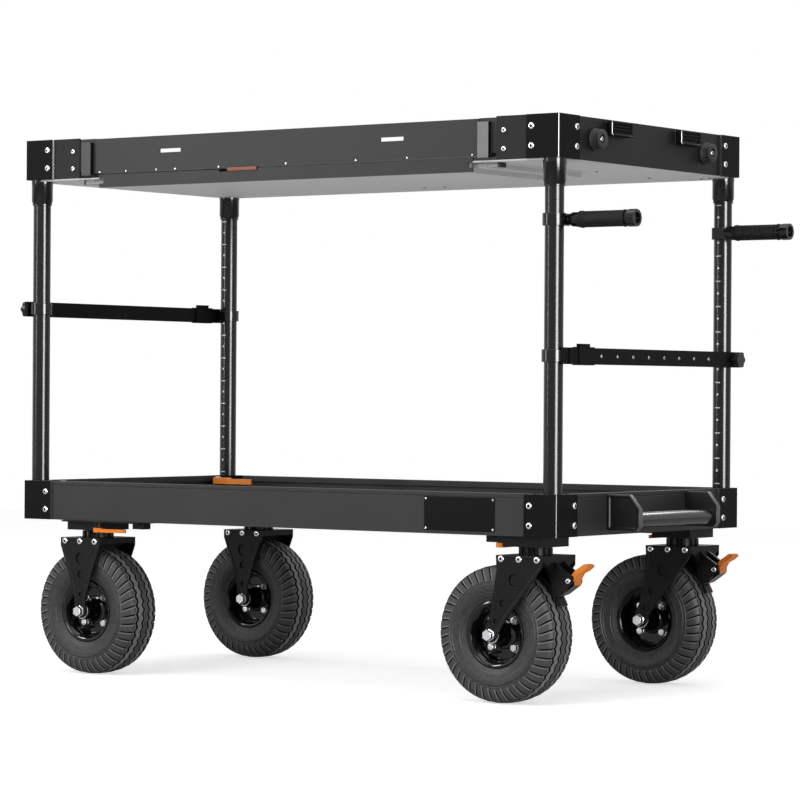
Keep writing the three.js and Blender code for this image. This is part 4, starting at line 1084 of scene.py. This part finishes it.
# Wheel rims
# Two pressed steel halves bolted together, enamelled gloss black, with a hub tube, a bearing and a valve.
# The deep dish mirrors the light in bright arcs, and four zinc nuts stand in its web.
enamel = grained("gloss_black_enamel", "0a0a0b", "101011", (0.06, 0.14), 3.0, 0.02, specular=0.35)
half_rim_section = [
    (8.6, 50), (15, 50), (17, 49), (18.4, 46), (18.4, 17), (20, 12.5), (24, 9.5), (28, 9), (30, 7),
    (47, 7), (49.4, 9), (50, 12), (50.3, 24), (51.6, 28.5), (54, 31), (56, 34), (58.5, 36.8), (61, 37.9),
    (63.4, 37.3), (64.2, 35.6), (62, 34.6), (57.5, 33), (54.2, 29),
]
rim_section = half_rim_section + [(r, -d) for r, d in reversed(half_rim_section)]
bearing_section = [
    (8.4, 50.2), (8.4, 51.6), (11.5, 51.6), (12, 50.8), (14, 50.8), (14.6, 51.4), (16.4, 51.2),
    (16.8, 50.2),
]
valve_section = [(0, 0), (4.5, 0), (4.2, 6), (3.2, 10), (3.2, 20), (2.6, 21), (0, 21)]
nut_circle = 36.5
rim_nut = hex_bolt(13, 8)
for corner, end, side in corners:
    axle = middle_of(f"tyre_{corner}")
    wheel_body = f"wheel_{corner}"
    rim = turned(f"rim_{corner}", rim_section, axle, (0, 1, 0), 72)
    dress(rim, enamel, wheel_body)
    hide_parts(f"wheel_rim_{corner}")
    places = []
    for angle in [math.radians(45 + 90 * step) for step in range(4)]:
        for out in (-1, 1):
            off = Vector((nut_circle * math.cos(angle), out * 7, nut_circle * math.sin(angle))) * mm
            places.append((axle + off, (0, out, 0)))
    set_out(rim_nut, f"rim_nuts_{corner}", places, wheel_body)
    for out, place in both_sides:
        bearing = turned(f"bearing_{corner}_{place}", bearing_section, axle, (0, out, 0), 40)
        dress(bearing, zinc, wheel_body)
    valve_place = axle + Vector((-20, side * 6, -36)) * mm
    stem = turned(f"valve_{corner}", valve_section, valve_place, (0, side, 0), 20)
    dress(stem, bumper_rubber, wheel_body)

# Tyres
# Pneumatic 4.10/3.50 tyres with a ribbed tread: four zigzag grooves round the crown, and slotted shoulders.
# The rubber is matt dark grey and dusty on the tread, with painted highlights along the edges of its ribs
# and lugs and painted shade in its grooves and slots.
pitches = 44
columns_in_pitch = (0.0, 0.04, 0.08, 0.22, 0.26, 0.36, 0.5, 0.67, 0.84)
slot_start = 0.05
slot_end = 0.22
groove_depth = 5.0
slot_depth = 3.6
zigzag = 3.0
zigzag_start = 0.36
slot_lean = 0.45
lean_radius = 131
lean_drop = 26
tread_radius = 131.1
tread_half = 36.0
crown_drop = 4.4
tread_edge = 30
wall_radius = 101.5
mould_line_step = 2.4
groove_row = [(-4.2, 0), (-2.7, 0), (-2.1, groove_depth), (2.1, groove_depth), (2.7, 0), (4.2, 0)]
shoulder_slots = [
    (34.4, 127.3, 1.0), (37.6, 124.2, 1.0), (40.2, 119.4, 1.0), (42.2, 113.0, 1.0), (43.4, 106.6, 0.8),
    (43.9, 102.6, 0.5), (44.0, 101.6, 0.0),
]
side_wall = [
    (44.9, 101.0), (45.1, 99.4), (44.2, 98.4), (44.6, 95.4), (45.1, 94.8), (45.1, 93.6), (44.5, 93),
    (44.4, 89), (43.6, 83), (42.6, 79.6), (43.0, 79.0), (42.7, 78.0), (41.9, 77.4), (41.4, 75),
    (40.2, 72), (39.4, 71), (38.6, 67.5), (37.4, 65.4), (35.0, 64.5), (34.0, 60), (33.0, 56),
]


def crown(across):
    """Radius of the tread in mm, at a distance from the wheel's middle plane."""
    return tread_radius - crown_drop * (across / tread_half) ** 2.4


def lean_at(radius):
    """How far the shoulder slots lean at a radius, as a share of a pitch."""
    return slot_lean * (lean_radius - radius) / lean_drop


def tread_rows():
    """Rows of (side distance, radius, zigzag share, slot share), from one bead across to the other."""
    rows = []
    for middle in (-24.6, -8.2, 8.2, 24.6):
        for offset, depth in groove_row:
            rows.append((middle + offset, crown(abs(middle + offset)) - depth, 1.0, 0.0))
    right = [(30.6, crown(30.6), 0.4, 0.0), (31.8, crown(31.8), 0.0, 1.0)]
    right += [(y, r, 0.0, slot) for y, r, slot in shoulder_slots]
    right += [(y, r, 0.0, 0.0) for y, r in side_wall]
    left = [(-y, r, wave, slot) for y, r, wave, slot in reversed(right)]
    return left + rows + right


def skin_points():
    """Points along the shoulder's outside, spaced closely enough to tell a lug's top from a slot."""
    edge = [row for row in tread_rows() if row[0] > 29 and row[1] > 100]
    points = []
    for (y0, r0, _, _), (y1, r1, _, _) in zip(edge, edge[1:]):
        points += [(y0 + (y1 - y0) * step / 6, r0 + (r1 - r0) * step / 6) for step in range(7)]
    return points


shoulder_skin = skin_points()


def row_span(piece, face):
    """How far a face of the tread reaches across the wheel between its rows, in mm."""
    ways = [(piece.data.vertices[a].co - piece.data.vertices[b].co) / mm for a, b in face.edge_keys]
    return max((abs(way.y) for way in ways if math.hypot(way.x, way.z) < 0.6), default=0)


def tyre_finish(tyre, face, centre):
    """The number of a face's finish: sidewall, dusty tread, groove in painted shade, or edge with a painted
    highlight.
    """
    off = face.center - centre
    across = abs(off.y) / mm
    radius = math.hypot(off.x, off.z) / mm
    if radius < wall_radius:
        return 0
    if across < tread_edge:
        out = (face.normal.x * off.x + face.normal.z * off.z) / (radius * mm)
        on_top = radius > crown(across) - 0.7 and out > 0.9
        beside_groove = len(face.vertices) == 4 and row_span(tyre, face) < 1.9
        return 2 if not on_top else 3 if beside_groove else 1
    share = (math.atan2(off.x, off.z) / (2 * math.pi) * pitches - lean_at(radius)) % 1.0
    skin = min(math.hypot(across - y, radius - r) for y, r in shoulder_skin)
    return 2 if skin > 1.3 else 3 if 0.25 < share < 0.38 else 1


def tyre_mesh(name, centre):
    """The tyre: a grid wrapped round the wheel, its rows bent into the section and cut by the tread."""
    rows = tread_rows()
    columns = pitches * len(columns_in_pitch)
    inwards = []
    for index in range(len(rows)):
        before, after = rows[index - 1], rows[(index + 1) % len(rows)]
        along = Vector((after[0] - before[0], after[1] - before[1])).normalized()
        inwards.append(Vector((along.y, -along.x)))
    bpy.ops.mesh.primitive_grid_add(x_subdivisions=columns, y_subdivisions=len(rows), size=1.0)
    tyre = bpy.context.object
    tyre.name = name
    for vertex in tyre.data.vertices:
        pitch, step = divmod(round((vertex.co.x + 0.5) * columns), len(columns_in_pitch))
        row = round((vertex.co.y + 0.5) * len(rows)) % len(rows)
        across, radius, waves, slot = rows[row]
        share = columns_in_pitch[step]
        if slot_start < share < slot_end and slot > 0:
            across += inwards[row].x * slot_depth * slot
            radius += inwards[row].y * slot_depth * slot
        across += zigzag * waves * (abs((share + zigzag_start) % 1.0 * 2 - 1) * 2 - 1)
        angle = 2 * math.pi * (pitch + share + lean_at(radius) * (slot > 0)) / pitches
        vertex.co = centre + Vector((radius * math.sin(angle), across, radius * math.cos(angle))) * mm
    select_only(tyre)
    with edit_mode("SELECT"):
        bpy.ops.mesh.remove_doubles(threshold=fine_weld)
        bpy.ops.mesh.normals_make_consistent(inside=False)
    bpy.ops.object.shade_smooth_by_angle(angle=math.radians(32))
    return tyre


def sidewall_rubber(name, dark, light):
    """Rubber of the sidewall: fine concentric lines from the mould over a mottled, dusty ground."""
    material = with_nodes(bpy.data.materials.new(name))
    place = add_node(material, "TexCoord").outputs["Object"]
    radius = add_node(material, "Attribute", attribute_name="axle_distance").outputs["Fac"]
    turns = calculate(material, "MULTIPLY", radius, 2 * math.pi / mould_line_step)
    rings = calculate(material, "SINE", turns)
    mottle = add_node(material, "TexNoise", {"Vector": place, "Scale": 1 / (7 * mm), "Detail": 4.0})
    tone = calculate(material, "MULTIPLY_ADD", rings, 0.16, mottle.outputs["Fac"])
    spread = add_node(material, "MapRange", {"Value": tone, "From Min": 0.3, "From Max": 0.72})
    bump = add_node(material, "Bump", {"Height": tone, "Distance": 0.5 * mm, "Strength": 0.7})
    return shaded(material, {
        "Base Color": two_tones(material, spread.outputs["Result"], dark, light),
        "Roughness": 0.52,
        "Specular IOR Level": 0.4,
        "Normal": bump.outputs["Normal"],
    })


tyre_rubber = sidewall_rubber("dark_tyre_rubber", "101011", "323234")
# Painted highlight on the edges of the ribs and lugs.
painted_highlight_rubber = grained("painted_highlight_rubber_edge", "727273", "8c8c8d", (0.5, 0.7), 2.0, 0.2, specular=0.3)
tread_rubber = grained("dusty_tread_rubber", "2a2a2b", "3e3e3f", (0.5, 0.7), 2.2, 0.3, specular=0.4)
# Painted shade in the grooves and shoulder slots.
groove_rubber_painted_shade = grained("groove_rubber_painted_shade", "0e0e0f", "161617", (0.6, 0.8), 2.0, 0.2, specular=0.1)
for corner, end, side in corners:
    centre = middle_of(f"tyre_{corner}")
    tyre = tyre_mesh(f"tyre_ring_{corner}", centre)
    dress(tyre, tyre_rubber, f"wheel_{corner}")
    distance = tyre.data.attributes.new("axle_distance", "FLOAT", "POINT")
    for vertex in tyre.data.vertices:
        off = vertex.co - centre
        distance.data[vertex.index].value = math.hypot(off.x, off.z) / mm
    finishes = (tread_rubber, groove_rubber_painted_shade, painted_highlight_rubber)
    paint_faces(tyre, finishes, lambda face: tyre_finish(tyre, face, centre))
    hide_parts(f"tyre_{corner}")

# Push handles
# A ring clamps round each right post, and a rubber grip folds down from its tongue on a cross pin.
# The grips are ribbed rubber over aluminium with a turned end ring, and the clamps are gloss anodised.
grip_rubber = grained("black_grip_rubber", "161617", "1e1e1f", (0.5, 0.62), 1.0, 0.12, specular=0.1)
ring_section = [(21, -11.7), (22.1, -11.6), (22.6, -11), (22.6, 11), (22.1, 11.6), (21, 11.7)]
post_off = half_length - post_inset
post_y = frame_side - post_inset
rib_count = 22
rib_pitch = 3.8
sleeve_section = [(14.05, 0), (15.6, 0.6), (16.2, 2), (16.2, 7), (15.4, 9)]
for rib in range(rib_count):
    for radius, along in ((14.7, 0), (15.3, 0.7), (15.3, 2.2), (14.7, 2.9)):
        sleeve_section.append((radius, 11 + rib * rib_pitch + along))
sleeve_section += [(15.4, 95.6), (16.2, 97), (16.2, 100), (15.4, 101), (14.05, 101)]
sleeve_reach = 124 * mm
notch_off = Vector((2 * mm, 0, -10 * mm))
notch_size = (6 * mm, 11.2 * mm, 16 * mm)
for side, place in both_sides:
    clamp = f"push_handle_clamp_{place}"
    grip = f"push_handle_grip_{place}"
    stand_in(copied(clamp), clamp, 0.7 * mm, gloss_collar)
    stand_in(copied(grip), grip, 0.9 * mm, gloss_collar)
    start = middle_of(grip)
    start.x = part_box(grip)[1].x - sleeve_reach
    sleeve = turned(f"grip_sleeve_{place}", sleeve_section, start, (1, 0, 0), 40)
    # A notch below takes the clamp's tongue when the grip is folded down.
    cut_away(sleeve, plain_block("notch", start + notch_off, notch_size))
    dress(sleeve, grip_rubber, f"handle_grip_{place}")
    ring_place = (cart_middle + post_off, side * post_y, middle_of(clamp).z)
    ring = turned(f"{clamp}_ring", ring_section, ring_place, (0, 0, 1))
    dress(ring, gloss_collar, frame["nodes"][clamp]["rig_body"])

# Cross bars
# Flat anodised bars outside the end posts, held by rings, with a row of threaded holes, each drawn as a low
# button with its socket in painted shade, and a lobed knob.
# The same bar turned half round sits at the other end, a little higher.
# A threaded hole is not cut: a low button with a socket in painted shade stands in its place.
hole_plug = button_screw(3, 0.8, 0.62)
bar_face_off = half_length + 7 * mm
hole_count = 8
first_hole = -194 * mm
hole_step = 57 * mm
for name, end in (("right", 1), ("left", -1)):
    bar = f"cross_bar_{name}"
    knob = f"cross_bar_knob_{name}"
    height = middle_of(knob).z
    stand_in(copied(bar), bar, 0.8 * mm, anodised_bracket)
    stand_in(copied(knob), knob, 1.4 * mm, moulded_black)
    for side, place in both_sides:
        ring_place = (cart_middle + end * post_off, side * post_y, height)
        ring = turned(f"cross_bar_ring_{name}_{place}", ring_section, ring_place, (0, 0, 1))
        dress(ring, gloss_collar, f"bar_{name}")
    places = []
    for step in range(hole_count):
        along = end * (first_hole + step * hole_step)
        places.append(((cart_middle + end * bar_face_off, along, height), (end, 0, 0)))
    set_out(hole_plug, f"cross_bar_hole_screws_{name}", places, f"bar_{name}")

# The screws and bolts at the origin, of which only the copies stay.
for pattern in patterns:
    bpy.data.objects.remove(pattern)
